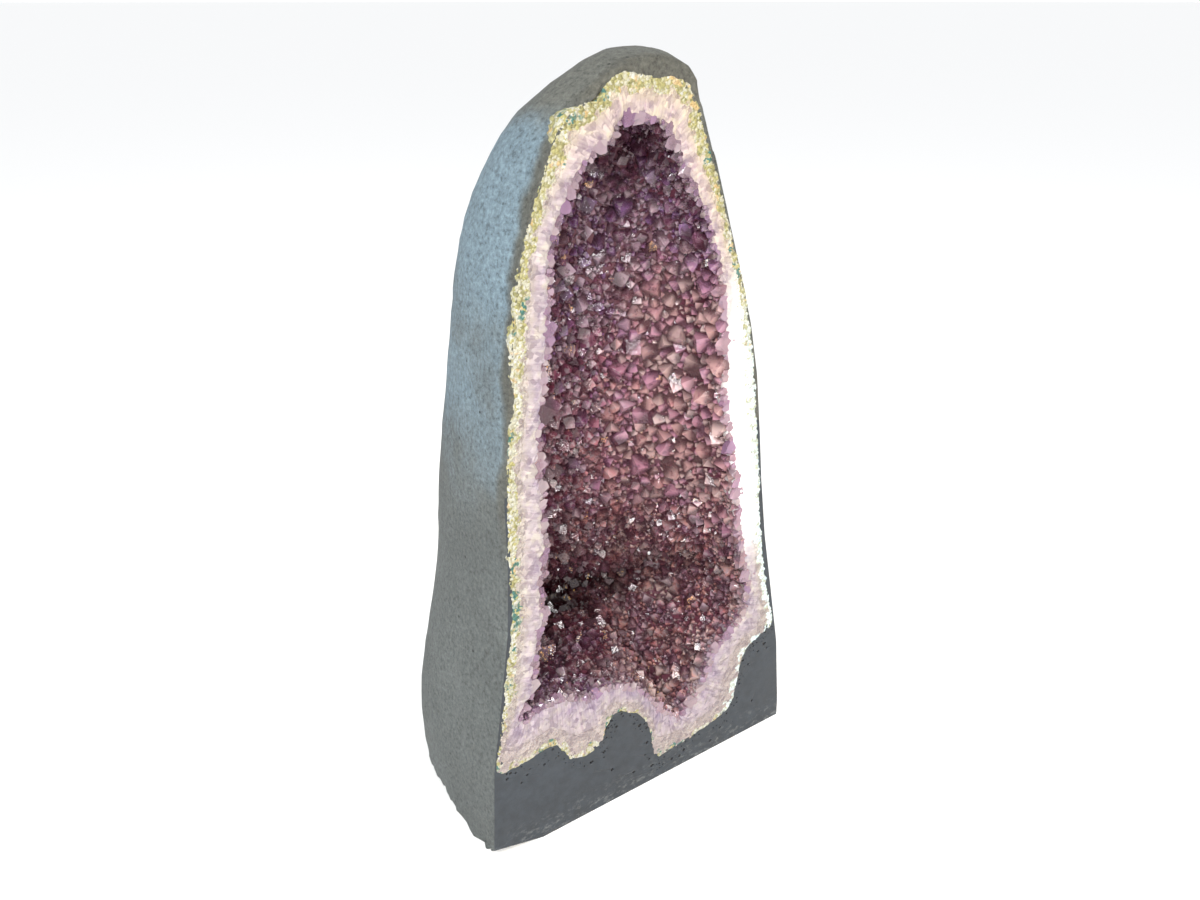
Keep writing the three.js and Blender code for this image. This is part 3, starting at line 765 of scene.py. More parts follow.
def rind_finish(settings):
    """Granular chalcedony that goes over into the quartz along a wandering line."""
    finish = Finish("Chalcedony")
    colour, height = crumb_colour(finish, settings)
    clear, _ = quartz_colour(finish, settings)
    colour = finish.blend(finish.spread(band_line(finish), 0.30, 0.36), colour, clear)
    normal = finish.bump(height, 1.6 * MM, 0.9)
    normal = finish.bump(finish.grain(900, 3), 0.4 * MM, 0.6, normal)
    finish.set(Base_Color=colour, Normal=normal, Roughness=0.5)
    return finish.material


def quartz_finish(settings, crystals):
    """Milky quartz band, going over behind the points into the wall's violet, darkened as painted shade in
    the gaps between them.
    """
    finish = Finish("Banded quartz")
    colour, height = quartz_colour(finish, settings)
    crumb, _ = crumb_colour(finish, settings)
    colour = finish.blend(finish.spread(band_line(finish), 0.36, 0.30), colour, crumb)
    # Painted shade: the wall behind the points takes the bed's dark colour.
    hidden = finish.spread(finish.kept("across"), 1.02, 1.12)
    colour = finish.blend(hidden, colour, tuple(crystals.bed))
    # Painted shade in the fold darkens the quartz bed there.
    colour = finish.blend(finish.kept("painted_fold_shade"), colour, QUARTZ_SHADE)
    normal = finish.bump(height, 0.9 * MM, 0.6)
    normal = finish.bump(finish.grain(520, 3), 0.5 * MM, 0.5, normal)
    finish.set(Base_Color=colour, Normal=normal, Roughness=0.3)
    return finish.material


# Colours of the points that the settings don't hold.
SMOKE = (0.44, 0.30, 0.30)
OWN_HUES = [
    (0.0, (1.15, 1.1, 1.1)), (0.3, (1.0, 1.0, 1.0)), (0.55, (1.0, 0.72, 0.84)), (0.8, (0.78, 0.70, 1.05)),
]
OWN_VIOLET = (0.38, 0.20, 0.48)
OWN_PALE = (0.80, 0.60, 0.70)
MOUND_BROWN = (1.0, 0.82, 0.72)
MOUND_VIOLET = (0.40, 0.24, 0.46)
MOUND_PALE = (1.0, 0.72, 0.66)
LEFT_VIOLET = (0.30, 0.20, 0.40)
PALE_VEIL = (0.88, 0.72, 0.78)
DARK_VEIL = (0.13, 0.035, 0.07)
THREAD = (0.88, 0.74, 0.78)
PALE_POINT = (0.82, 0.66, 0.72)
DARK_POINT = (0.10, 0.026, 0.055)
LIT_HUES = [(0.2, (1.0, 0.72, 0.68)), (0.5, (1.0, 0.60, 0.58)), (0.8, (0.95, 0.48, 0.62))]
MILK_HUES = [(0.0, (0.42, 0.25, 0.42)), (0.5, (0.52, 0.37, 0.47)), (1.0, (0.60, 0.50, 0.52))]
ROOT_SHADE = (0.06, 0.014, 0.028)
# The painted shade in the fold, on the points.
FOLD_PAINTED_SHADE = (0.030, 0.006, 0.009)
AMETHYST_IOR = 1.544
CLEARNESS = 0.58


def wall_colour(finish, settings, side):
    """Plum at the left, rose at the right and violet above, with smoky patches."""
    wander = finish.grain(16, 2)
    warm = finish.plus(side, finish.wander(wander, -0.3))
    deep = finish.plus(finish.reach("Z", 270, 480), finish.wander(wander, 0.25))
    colour = finish.blend(finish.spread(warm, 0.15, 0.9), tuple(settings.plum), tuple(settings.rose))
    colour = finish.blend(finish.spread(deep, 0.15, 0.95, 0, 0.85), colour, tuple(settings.violet))
    return finish.blend(finish.spread(finish.grain(30, 2), 0.52, 0.68, 0.0, 0.55), colour, SMOKE)


def own_colour(finish, colour, hue):
    """Each point's own hue: some pinker, some bluer, a few pale."""
    colour = finish.tint(1.0, colour, finish.ramp(hue, OWN_HUES))
    colour = finish.blend(finish.spread(hue, 0.72, 0.80, 0.0, 0.35), colour, OWN_VIOLET)
    return finish.blend(finish.spread(hue, 0.16, 0.06, 0.0, 0.6), colour, OWN_PALE)


def mound_colour(finish, colour, side):
    """Browner points on the mound, violet in patches and at its left, pale at its right."""
    low = finish.reach("Z", 260, 160)
    colour = finish.tint(low, colour, MOUND_BROWN)
    patch = finish.grain(34, 3)
    violet = finish.spread(patch, 0.48, 0.38, 0.0, 0.7)
    colour = finish.blend(finish.times(low, violet), colour, MOUND_VIOLET)
    pale = finish.spread(patch, 0.48, 0.60, 0.15, 0.8)
    pale = finish.times(pale, finish.spread(side, 0.2, 0.8, 0.35, 1.25))
    colour = finish.blend(finish.times(low, pale), colour, MOUND_PALE)
    left = finish.times(finish.reach("X", -35, -65), finish.reach("Z", 150, 100))
    return finish.blend(finish.times(left, 0.6), colour, LEFT_VIOLET)


def flawed_colour(finish, colour, tone, veil):
    """Pale and dark veils and thin threads inside the points, some points pale and some dark."""
    colour = finish.blend(finish.spread(veil, 0.53, 0.66, 0.0, 0.7), colour, PALE_VEIL)
    colour = finish.blend(finish.spread(veil, 0.46, 0.36, 0.0, 0.7), colour, DARK_VEIL)
    thread = finish.reckon(finish.own_grain(95, finish.times(tone, 37.0), 5), 0.5, "SUBTRACT")
    thread = finish.reckon(thread, 0.0, "ABSOLUTE")
    colour = finish.blend(finish.spread(thread, 0.016, 0.004, 0.0, 0.55), colour, THREAD)
    colour = finish.blend(finish.spread(tone, 0.78, 1.0, 0, 0.55), colour, PALE_POINT)
    return finish.blend(finish.spread(tone, 0.32, 0.0, 0, 0.7), colour, DARK_POINT)


def lit_colour(finish, colour, hue, veil):
    """Painted light: a paler, milky rose on the right wall, where the light falls."""
    lit = finish.times(finish.reach("X", 0, 50), finish.reach("Z", 170, 260))
    lit = finish.times(lit, finish.reach("Z", 460, 380))
    lit = finish.times(lit, finish.spread(veil, 0.38, 0.54, 0.45, 1.0))
    return finish.blend(lit, colour, finish.ramp(hue, LIT_HUES))


def amethyst_finish(settings):
    """See-through amethyst: deep violet above, plum behind, rose at the right, milky at the rim."""
    finish = Finish("Amethyst")
    tone = finish.kept("tone")
    milk = finish.kept("milk")
    hue = finish.reckon(finish.times(tone, 7.0), 1.0, "MODULO")
    side = finish.reach("X", -55, 40)
    veil = finish.own_grain(210, finish.times(tone, 37.0))
    colour = wall_colour(finish, settings, side)
    colour = own_colour(finish, colour, hue)
    colour = mound_colour(finish, colour, side)
    colour = flawed_colour(finish, colour, tone, veil)
    # Painted light on the right wall of the hollow.
    colour = lit_colour(finish, colour, hue, veil)
    # Painted shade: in the shaded parts of the hollow the points go over into the bed's dark colour.
    colour = finish.blend(finish.kept("shade"), colour, tuple(settings.bed))
    colour = finish.blend(milk, colour, finish.ramp(tone, MILK_HUES))
    root = finish.times(finish.spread(finish.kept("root"), 0.80, 0.5), finish.rest_of(milk))
    colour = finish.blend(finish.times(root, 0.85), colour, ROOT_SHADE)
    # Painted shade in the fold: the points there go over into a near-black maroon.
    colour = finish.blend(finish.kept("painted_fold_shade"), colour, FOLD_PAINTED_SHADE)
    flaw = finish.grain(320, 4, 0.65)
    normal = finish.bump(finish.cells(380), 0.5 * MM, 0.25)
    normal = finish.bump(flaw, 0.4 * MM, 0.4, normal)
    finish.set(Base_Color=colour, Normal=normal, Roughness=finish.spread(flaw, 0.35, 0.75, 0.04, 0.2))
    finish.shader.inputs["IOR"].default_value = AMETHYST_IOR
    finish.shader.inputs["Transmission Weight"].default_value = CLEARNESS
    return finish.material


# How the hull is rounded and roughened, in mm unless it says otherwise.
SHARP = math.radians(34)
QUAD_TURN = math.radians(30)
QUAD_SKEW = math.radians(50)
SUBDIVISIONS = 2
EDGE_KEPT = 0.5
EDGE_FADE = 4.0
HULL_AXIS = (-12, 40)
CROWN_TOP = 553
SKIN_LUMPS = ((19, 1.0, 21), (9, 0.6, 22))
CHIP_LUMPS = ((15, 1.0, 31), (7, 0.6, 32))
CHIP_BIAS = 0.15
CHIP_HEIGHT = 26.0
CHIP_BEHIND = 6
CHIP_OUTSIDE = 60
CHIP_RIGHT = 0.5
# Vertices that the rounding draws a little behind the low part of the cut face, and that face forward.
SUNK_FROM = 0.005
SUNK_TO = 2
SUNK_BELOW = 130
FACING_FRONT = -0.7
# Heights in metres: the cut face's outer edge is rounded above the first, and flat a margin below it.
CROWN_ROUND = 0.50
FLAT_BELOW = 0.02
APRON_TOP = 0.30
APRON_DEEP = 3
PIT_REACH = 2.4
# What counts as lying on the cut face, as its outer edge and as the band's edge, in mm.
ON_FACE = 0.05
BY_FACE = 0.5
BY_BAND = 2.5
# Closing the coarse pits of the solid: welding distance, and the reach and depth of a pit, in mm.
WELD = 0.01
DRAWN_REACH = 4
DRAWN_DEPTH = 5
# The round gas holes: half widths, places beside and below the band, and room between them, in mm.
PIT_SEED = 41
DRAWN_RADII = (1.0, 1.7)
SMALL_RADIUS = 0.45
SMALL_RADIUS_MORE = 0.75
LOW_BAND = 110
PIT_BESIDE = 9
PIT_BELOW = (2.5, 22)
PIT_SPACING = 1.3
PIT_ROOM = 0.3
PIT_TO_BAND = 2.2
PIT_LOWEST = 6
PIT_FARTHEST = 134
PIT_START = 0.1
PIT_WIDE = (0.8, 1.3)
PIT_DEEP = 1.2
PIT_HIGH = (0.8, 1.2)


def on_cut_face(point):
    return abs(point.y - FACE_Y) < ON_FACE * MM


def sharp_creases(piece, angle, round_above):
    """Keeps sharp edges and the cut face as they are under a subdivision surface.

    The outer edge of the cut face is rounded above a height.
    """
    take(piece)
    bpy.ops.object.mode_set(mode="EDIT")
    bpy.ops.mesh.select_mode(type="FACE")
    bpy.ops.object.mode_set(mode="OBJECT")
    for face in piece.data.polygons:
        corners = [piece.data.vertices[number].co for number in face.vertices]
        face.select = not all(on_cut_face(corner) for corner in corners)
    bpy.ops.object.mode_set(mode="EDIT")
    bpy.ops.mesh.tris_convert_to_quads(face_threshold=QUAD_TURN, shape_threshold=QUAD_SKEW)
    bpy.ops.mesh.select_all(action="DESELECT")
    bpy.ops.mesh.select_mode(type="EDGE")
    bpy.ops.mesh.edges_select_sharp(sharpness=angle)
    bpy.ops.object.mode_set(mode="OBJECT")
    mesh = piece.data
    for edge in mesh.edges:
        ends = [mesh.vertices[number].co for number in edge.vertices]
        outer = all(abs(end.y - FACE_Y) < BY_FACE * MM and end.z > round_above for end in ends)
        if outer and not near_band(ends):
            edge.select = False
        if all(on_cut_face(end) and end.z < round_above - FLAT_BELOW for end in ends):
            edge.select = True
    bpy.ops.object.mode_set(mode="EDIT")
    bpy.ops.transform.edge_crease(value=1)
    bpy.ops.object.mode_set(mode="OBJECT")


def fill_drawn_pits(piece):
    """Closes the coarse pits of the solid, so that round ones can be cut once it is smooth."""
    take(piece)
    bpy.ops.object.mode_set(mode="EDIT")
    bpy.ops.mesh.select_all(action="SELECT")
    bpy.ops.mesh.remove_doubles(threshold=WELD * MM)
    bpy.ops.mesh.select_mode(type="VERT")
    bpy.ops.mesh.select_all(action="DESELECT")
    bpy.ops.object.mode_set(mode="OBJECT")
    places = in_place(np.array([(x, 0, z) for x, z in PITS]))
    for vertex in piece.data.vertices:
        reach = np.hypot(places[:, 0] - vertex.co.x, places[:, 2] - vertex.co.z).min()
        behind = (vertex.co.y - FACE_Y) / MM
        vertex.select = bool(reach < DRAWN_REACH * MM and ON_FACE < behind < DRAWN_DEPTH)
    bpy.ops.object.mode_set(mode="EDIT")
    bpy.ops.mesh.delete(type="VERT")
    bpy.ops.mesh.select_all(action="SELECT")
    bpy.ops.mesh.fill_holes(sides=0)
    bpy.ops.object.mode_set(mode="OBJECT")


def pit_places(count, dice):
    """Places and half widths of the gas holes: the drawn ones, then others close to the band."""
    holes = [(x, z, dice.uniform(*DRAWN_RADII)) for x, z in PITS]
    low = FACE_CURVE[FACE_CURVE[:, 1] < LOW_BAND]
    while len(holes) < count:
        edge = low[dice.randrange(len(low))]
        x = edge[0] + dice.uniform(-PIT_BESIDE, PIT_BESIDE)
        z = edge[1] - dice.uniform(*PIT_BELOW) * dice.random() ** 1.5
        reach = np.hypot(FACE_CURVE[:, 0] - x, FACE_CURVE[:, 1] - z)
        band = FACE_CURVE[reach.argmin()]
        radius = SMALL_RADIUS + SMALL_RADIUS_MORE * dice.random() ** 2
        room = min(math.hypot(x - hole[0], z - hole[1]) - PIT_SPACING * (radius + hole[2]) for hole in holes)
        outside = reach.min() < PIT_TO_BAND or z > band[1] or z < PIT_LOWEST or abs(x) > PIT_FARTHEST
        if not outside and room >= PIT_ROOM:
            holes.append((x, z, radius))
    return holes


def cut_pits(piece, settings):
    """Cuts round gas holes in the honed face, and gives back their places and half widths."""
    dice = random.Random(PIT_SEED)
    holes = pit_places(settings.pits, dice)
    cutters = []
    for x, z, radius in holes:
        clear_selection()
        bpy.ops.mesh.primitive_ico_sphere_add(subdivisions=2, radius=radius * MM)
        cutter = bpy.context.object
        cutter.scale = (dice.uniform(*PIT_WIDE), PIT_DEEP, dice.uniform(*PIT_HIGH))
        cutter.location = in_place(np.array([(x, PIT_START, z)]))[0]
        cutters.append(cutter)
    clear_selection()
    for cutter in cutters:
        cutter.select_set(True)
    bpy.context.view_layer.objects.active = cutters[0]
    bpy.ops.object.join()
    bpy.ops.object.transform_apply(location=True, rotation=True, scale=True)
    take(piece)
    bite = piece.modifiers.new("Pits", "BOOLEAN")
    bite.operation = "DIFFERENCE"
    bite.solver = "MANIFOLD"
    bite.object = cutters[0]
    bpy.ops.object.modifier_apply(modifier=bite.name)
    bpy.data.objects.remove(cutters[0])
    return holes


def near_band(ends):
    """Whether an edge of the cut face runs along the band's outer edge."""
    middle = (ends[0] + ends[1]) / 2 / MM
    reach = np.hypot(FACE_CURVE[:, 0] + FACE_MIDDLE_X / MM - middle.x, FACE_CURVE[:, 1] - middle.z)
    return reach.min() < BY_BAND


def apply_subdivision(piece, levels):
    take(piece)
    smooth = piece.modifiers.new("Rounding", "SUBSURF")
    smooth.levels = levels
    smooth.render_levels = levels
    bpy.ops.object.modifier_apply(modifier=smooth.name)


def vertex_arrays(mesh):
    """The places and the normals of a mesh's vertices."""
    count = len(mesh.vertices)
    points = np.empty(count * 3, np.float32)
    mesh.vertices.foreach_get("co", points)
    normals = np.empty(count * 3, np.float32)
    mesh.vertex_normals.foreach_get("vector", normals)
    return points.reshape(-1, 3).astype(float), normals.reshape(-1, 3)


def roughen_skin(mesh, settings):
    """Lays the cut face flat, lumps the skin and chips the edge of the base."""
    points, normals = vertex_arrays(mesh)
    local = points / MM - np.array([FACE_MIDDLE_X / MM, FACE_Y / MM, 0])
    behind = local[:, 1]
    height = local[:, 2]
    spoke = local[:, :2] - np.array(HULL_AXIS)
    outside = np.linalg.norm(spoke, axis=1)
    skin = ((spoke * normals[:, :2]).sum(1) > 0) | (height > CROWN_TOP)
    sunk = (normals[:, 1] < FACING_FRONT) & (behind > SUNK_FROM) & (behind < SUNK_TO) & (height < SUNK_BELOW)
    points[sunk, 1] = FACE_Y
    skin[sunk] = False
    fade = np.clip((behind - EDGE_KEPT) / EDGE_FADE, 0, 1) * np.clip((height - EDGE_KEPT) / EDGE_FADE, 0, 1)
    chosen = np.where(skin & (fade > 0))[0]
    lump = settings.roughness_height * ripples(local[chosen], SKIN_LUMPS) * fade[chosen]
    points[chosen] += normals[chosen] * lump[:, None]
    low = np.where(skin & (height < CHIP_HEIGHT) & (behind > CHIP_BEHIND) & (outside > CHIP_OUTSIDE))[0]
    bite = np.clip(ripples(local[low], CHIP_LUMPS) + CHIP_BIAS, 0, 1)
    bite *= (1 - height[low] / CHIP_HEIGHT) * settings.chip_depth
    bite *= np.where(local[low, 0] < 0, 1.0, CHIP_RIGHT)
    inward = spoke[low] / outside[low, None]
    points[low, :2] -= inward * bite[:, None]
    mesh.vertices.foreach_set("co", points.astype(np.float32).ravel())
    mesh.update()


def lay_stone_finishes(mesh, settings, holes):
    """Gives the cut face and its pits the honed finish, and all else the rough one."""
    places = in_place(np.column_stack([holes[:, 0], holes[:, 1] * 0, holes[:, 1]]))
    mesh.materials.clear()
    mesh.materials.append(stone_skin(settings))
    mesh.materials.append(stone_apron(settings))
    for face in mesh.polygons:
        middle = face.center
        near = middle.y < FACE_Y + APRON_DEEP * MM and middle.z < APRON_TOP
        if near and middle.y > FACE_Y + 0.1 * MM:
            reach = np.hypot(places[:, 0] - middle.x, places[:, 2] - middle.z)
            near = reach.min() < PIT_REACH * MM
        face.material_index = 1 if near else 0


class GEODE_OT_hull(bpy.types.Operator):
    """Roughens the stone's skin and hones its cut face."""

    bl_idname = "geode.hull"
    bl_label = "Stone hull"

    def execute(self, context):
        settings = context.scene.geode_stone
        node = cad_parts["stone_hull"]
        piece = new_piece("hull_stone", node.data.copy())
        fill_drawn_pits(piece)
        sharp_creases(piece, SHARP, CROWN_ROUND)
        apply_subdivision(piece, SUBDIVISIONS)
        roughen_skin(piece.data, settings)
        holes = np.array(cut_pits(piece, settings))
        lay_stone_finishes(piece.data, settings, holes)
        bpy.ops.object.shade_smooth_by_angle(angle=SHARP)
        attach(piece, "root")
        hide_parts("stone_hull")
        return {"FINISHED"}


# The two cups: rows across the band, and rows along the outer and the inner wall.
RIND_ROWS = (16, (7, 7))
QUARTZ_ROWS = (20, (7, 36))
# How far each cup's rim reaches over the line it shares with the piece outside it, in mm.
RIND_OVERLAP = 1.5
QUARTZ_OVERLAP = 0.7


class GEODE_OT_rind(bpy.types.Operator):
    """Lines the hull with the granular chalcedony rind."""

    bl_idname = "geode.rind"
    bl_label = "Chalcedony rind"

    def execute(self, context):
        settings = context.scene.geode_band
        piece = layered_cup(
            "rind_band", (0.0, "grey"), (QUARTZ_START, "quartz"), *RIND_ROWS,
            rind_relief, settings.relief / MM, RIND_OVERLAP,
        )
        piece.data.materials.append(rind_finish(settings))
        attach(piece, "root")
        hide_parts("chalcedony_rind")
        return {"FINISHED"}


class GEODE_OT_quartz(bpy.types.Operator):
    """Lays the quartz bed that the points stand in, with its pale cut band."""

    bl_idname = "geode.quartz"
    bl_label = "Quartz bed"

    def execute(self, context):
        scene = context.scene
        piece = layered_cup(
            "quartz_bed", (QUARTZ_START, "quartz"), (1.0, "druse"), *QUARTZ_ROWS,
            quartz_relief, scene.geode_band.relief / MM, QUARTZ_OVERLAP,
        )
        piece.data.materials.append(quartz_finish(scene.geode_band, scene.geode_crystal))
        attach(piece, "root")
        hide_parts("amethyst_crust")
        return {"FINISHED"}


# The shapes of a point: a prism of unit half width, with its faces at the angle of quartz.
TEMPLATES = 24
POINT_SEED = 17
PLACE_SEED = 5
POINT_SLOPE = math.radians(51.8)
PRISM_HEIGHT = 4
TIP_HEIGHT = 1.35
TIP_TURNS = (0.12, 0.42)
TIP_WANDER = 0.13
TIP_WELD = 0.02
# Half widths in mm, smallest and largest, and how close the points of each size may stand.
LARGE_SIZES = (4.9, 8.8, 0.57)
MIDDLING_SIZES = (3.1, 4.9, 0.57)
SMALL_SIZES = (1.8, 3.1, 0.60)
RIM_SIZES = (2.0, 7.0)
RIM_ZONE = 0.05
SMALL_PIECE_BELOW = 3.0
# How the points stand: their stretch, how deep they sink in the wall, and how far they lean.
STRETCH = (0.85, 1.35)
SUNK_SHARES = (0.05, 0.35)
SCATTER = 0.36
# Milky points end at this share inward, and fade over this share.
MILK_END = 0.055
MILK_FADE = 0.04
MILK_RANGE = (0.55, 1.0)
# The points are sawn off where the cut face is, in mm behind it, and keep a share of what stood out.
CUT_DEPTH = 0.7
CUT_SQUEEZE = 0.05
ROOT_SPAN = 2.4
# The deepest part of the fold stays free: nearer than this, where it is deeper than this, in mm.
FOLD_FREE = (6, 10)
WALL_COLUMNS = 420
WALL_ROWS = 170
SHELF_CELL = 12.0
SHOWPIECE_ROOM = 0.8


def crystal_template(number, dice):
    """One six-sided point of unit half width, its prism cut by six uneven faces at the tip."""
    clear_selection()
    bpy.ops.mesh.primitive_cylinder_add(
        vertices=6, radius=1, depth=PRISM_HEIGHT, location=(0, 0, 1), end_fill_type="NGON",
    )
    piece = bpy.context.object
    piece.name = f"point_{number}"
    bpy.ops.object.transform_apply(location=True, rotation=True, scale=True)
    bpy.ops.object.mode_set(mode="EDIT")
    big = dice.uniform(*TIP_TURNS)
    for face in range(6):
        turn = math.radians(60 * face + 30)
        normal = Vector((
            math.cos(turn) * math.sin(POINT_SLOPE),
            math.sin(turn) * math.sin(POINT_SLOPE),
            math.cos(POINT_SLOPE),
        ))
        apex = TIP_HEIGHT + (big if face % 2 else -big) + dice.uniform(-TIP_WANDER, TIP_WANDER)
        bpy.ops.mesh.select_all(action="SELECT")
        bpy.ops.mesh.bisect(
            plane_co=(0, 0, apex), plane_no=normal, use_fill=True, clear_outer=True, clear_inner=False,
        )
    bpy.ops.mesh.select_all(action="SELECT")
    bpy.ops.mesh.remove_doubles(threshold=TIP_WELD)
    bpy.ops.mesh.quads_convert_to_tris()
    bpy.ops.object.mode_set(mode="OBJECT")
    mesh = piece.data
    points = np.array([vertex.co[:] for vertex in mesh.vertices])
    faces = np.array([face.vertices[:] for face in mesh.polygons])
    bpy.data.objects.remove(piece)
    return points, faces


# The largest single points: share round, share inward, lean in x, y and z, half width, rise in mm.
SHOWPIECES = [
    (0.838, 0.03, (0.1, -0.1, 0.2), 9, 7), (0.69, 0.08, (0, -0.2, 0.5), 8, 4),
    (0.585, 0.30, (0.2, -0.3, 0), 11, 5), (0.50, 0.42, (-0.2, -0.3, 0.1), 9, 5),
    (0.46, 0.62, (0.1, -0.5, 0.2), 9, 5), (0.20, 0.72, (0, 0.1, 0.2), 10, 4),
    (0.15, 0.55, (0.1, -0.2, 0.2), 9, 4), (0.26, 0.60, (-0.1, 0, 0.3), 10, 4),
    (0.84, 0.70, (0.3, 0, -0.2), 9, 4), (0.08, 0.60, (-0.3, 0, 0.1), 8, 4),
]


class DruseWall:
    """The hollow's wall as a fine grid, with its normals and areas."""

    def __init__(self):
        around = np.arange(WALL_COLUMNS) / WALL_COLUMNS
        rim = rim_at(1.0, "druse", around)
        self.steps = np.linspace(0.0, 1.0, WALL_ROWS)
        self.grid = np.stack([wall_point(rim, "druse", np.full(WALL_COLUMNS, step)) for step in self.steps])
        self.along = np.roll(self.grid, -1, axis=1) - np.roll(self.grid, 1, axis=1)
        self.back = np.gradient(self.grid, axis=0)
        normal = np.cross(self.back, self.along)
        self.area = np.linalg.norm(normal, axis=2)
        self.normal = normal / (self.area[..., None] + 1e-9)

    def nearest(self, around, inward):
        row = int(round(inward * (WALL_ROWS - 1)))
        column = int(around * WALL_COLUMNS) % WALL_COLUMNS
        return row, column


def size_here(point):
    """How large the points grow at a place, as a share of their usual size."""
    right = np.clip(point[0] / 60, 0, 1)
    middle = np.exp(-((point[2] - 330) / 110) ** 2)
    return 0.85 + 0.25 * right * middle + 0.15 * middle


# Parts of the hollow with painted shade: x, z and half width and height in mm, and how dark, from 0 to 1.
PAINTED_SHADE_PARTS = [
    (-20, 505, 60, 26, 0.82), (-70, 240, 42, 60, 0.65), (-50, 178, 60, 48, 0.86),
    (0, 150, 80, 22, 0.75), (45, 185, 40, 32, 0.42), (10, 105, 60, 30, 0.38), (-70, 360, 28, 70, 0.35),
]


def painted_shade_at(point):
    """How much painted shade the points at a place get: how far they go over into the bed's dark colour."""
    light = 1.0
    for x, z, wide, high, dark in PAINTED_SHADE_PARTS:
        light *= 1 - dark * math.exp(-(((point[0] - x) / wide) ** 2 + ((point[2] - z) / high) ** 2))
    return 1 - light


class Shelf:
    """The points set so far, sorted by where they stand, so that near ones are found quickly."""

    def __init__(self):
        self.cells = {}

    def cell_of(self, point):
        return tuple((point // SHELF_CELL).astype(int))

    def add(self, point, size):
        self.cells.setdefault(self.cell_of(point), []).append((point, size))

    def crowded(self, point, size, closeness):
        """Whether a point of a size would stand too close to another."""
        x, y, z = self.cell_of(point)
        for i, j, k in itertools.product((-1, 0, 1), repeat=3):
            for at, wide in self.cells.get((x + i, y + j, z + k), ()):
                apart = (point[0] - at[0]) ** 2 + (point[1] - at[1]) ** 2 + (point[2] - at[2]) ** 2
                if apart < (closeness * size + closeness * wide) ** 2:
                    return True
        return False


def scattered_points(settings, dice):
    """Places, aims, sizes, shares inward and scatter of the points, the large ones first."""
    wall = DruseWall()
    chance = (wall.area / wall.area.sum()).ravel()
    picker = np.random.default_rng(PLACE_SEED)
    shelf = Shelf()
    placed = []
    for around, inward, lean, half, rise in SHOWPIECES:
        row, column = wall.nearest(around, inward)
        point = wall.grid[row, column]
        aim = wall.normal[row, column] + np.array(lean)
        aim /= np.linalg.norm(aim)
        shelf.add(point, half * SHOWPIECE_ROOM)
        placed.append((point + aim * rise, aim, float(half), inward, 0.0))
    tries = (settings.large, settings.middling, settings.small)
    for tried, (low, high, closeness) in zip(tries, (LARGE_SIZES, MIDDLING_SIZES, SMALL_SIZES)):
        picks = picker.choice(chance.size, tried, p=chance)
        jitter = picker.uniform(-0.5, 0.5, (tried, 2))
        for pick, shift in zip(picks, jitter):
            row, column = divmod(int(pick), WALL_COLUMNS)
            point = wall.grid[row, column] + wall.along[row, column] * 0.5 * shift[0]
            point = point + wall.back[row, column] * shift[1]
            size = (low + (high - low) * dice.random() ** 1.5) * size_here(point)
            if wall.steps[row] < RIM_ZONE:
                size = min(size, dice.uniform(*RIM_SIZES))
            if shelf.crowded(point, size, closeness):
                continue
            shelf.add(point, size)
            reach, depth = fold_reach(point)
            if reach < FOLD_FREE[0] and depth > FOLD_FREE[1]:
                continue
            placed.append((point, wall.normal[row, column], size, wall.steps[row], SCATTER))
    return placed


def point_axes(normal, scatter, dice):
    """The three axes of a leaning, spun and stretched point."""
    lean = np.array([dice.gauss(0, 1), dice.gauss(0, 1), dice.gauss(0, 1)])
    aim = normal + lean * scatter
    aim /= np.linalg.norm(aim)
    side = np.cross(aim, (0.3, 0.9, 0.2))
    side /= np.linalg.norm(side)
    spin = dice.uniform(0, math.pi / 3)
    first = side * math.cos(spin) + np.cross(aim, side) * math.sin(spin)
    stretch = dice.uniform(*STRETCH)
    return aim, np.stack([first, np.cross(aim, first), aim * stretch])


def grown_points(name, placed, templates, dice):
    """One mesh of crystals standing at their places, sawn off flat at the cut face."""
    points = []
    faces = []
    start = 0
    kept = {"tone": [], "root": [], "milk": [], "shade": []}
    centres = []
    for place, normal, size, inward, scatter in placed:
        shape, sides = templates[dice.randrange(TEMPLATES)]
        aim, axes = point_axes(normal, scatter, dice)
        sunk = dice.uniform(*SUNK_SHARES)
        grown = place + (shape @ axes) * size - aim * size * sunk
        sawn = CUT_DEPTH + (grown[:, 1] - CUT_DEPTH) * CUT_SQUEEZE
        grown[:, 1] = np.maximum(grown[:, 1], sawn)
        points.append(grown)
        faces.append(sides + start)
        start += len(shape)
        milk = np.clip((MILK_END - inward) / MILK_FADE, 0, 1) * dice.uniform(*MILK_RANGE) * (scatter > 0)
        kept["tone"].append(np.full(len(shape), dice.random()))
        kept["root"].append(np.clip((shape[:, 2] + 1) / ROOT_SPAN, 0, 1))
        kept["milk"].append(np.full(len(shape), milk))
        # Each point keeps how much painted shade its place gets.
        kept["shade"].append(np.full(len(shape), painted_shade_at(place)))
        centres.append(np.repeat(place[None, :], len(shape), axis=0))
    mesh = mesh_of(name, in_place(np.concatenate(points)), np.concatenate(faces).tolist())
    for key, values in kept.items():
        mark(mesh, key, np.concatenate(values))
    # Each point keeps the painted shade of the fold at its place.
    mark(mesh, "painted_fold_shade", painted_fold_shade_at(np.concatenate(centres)))
    return mesh


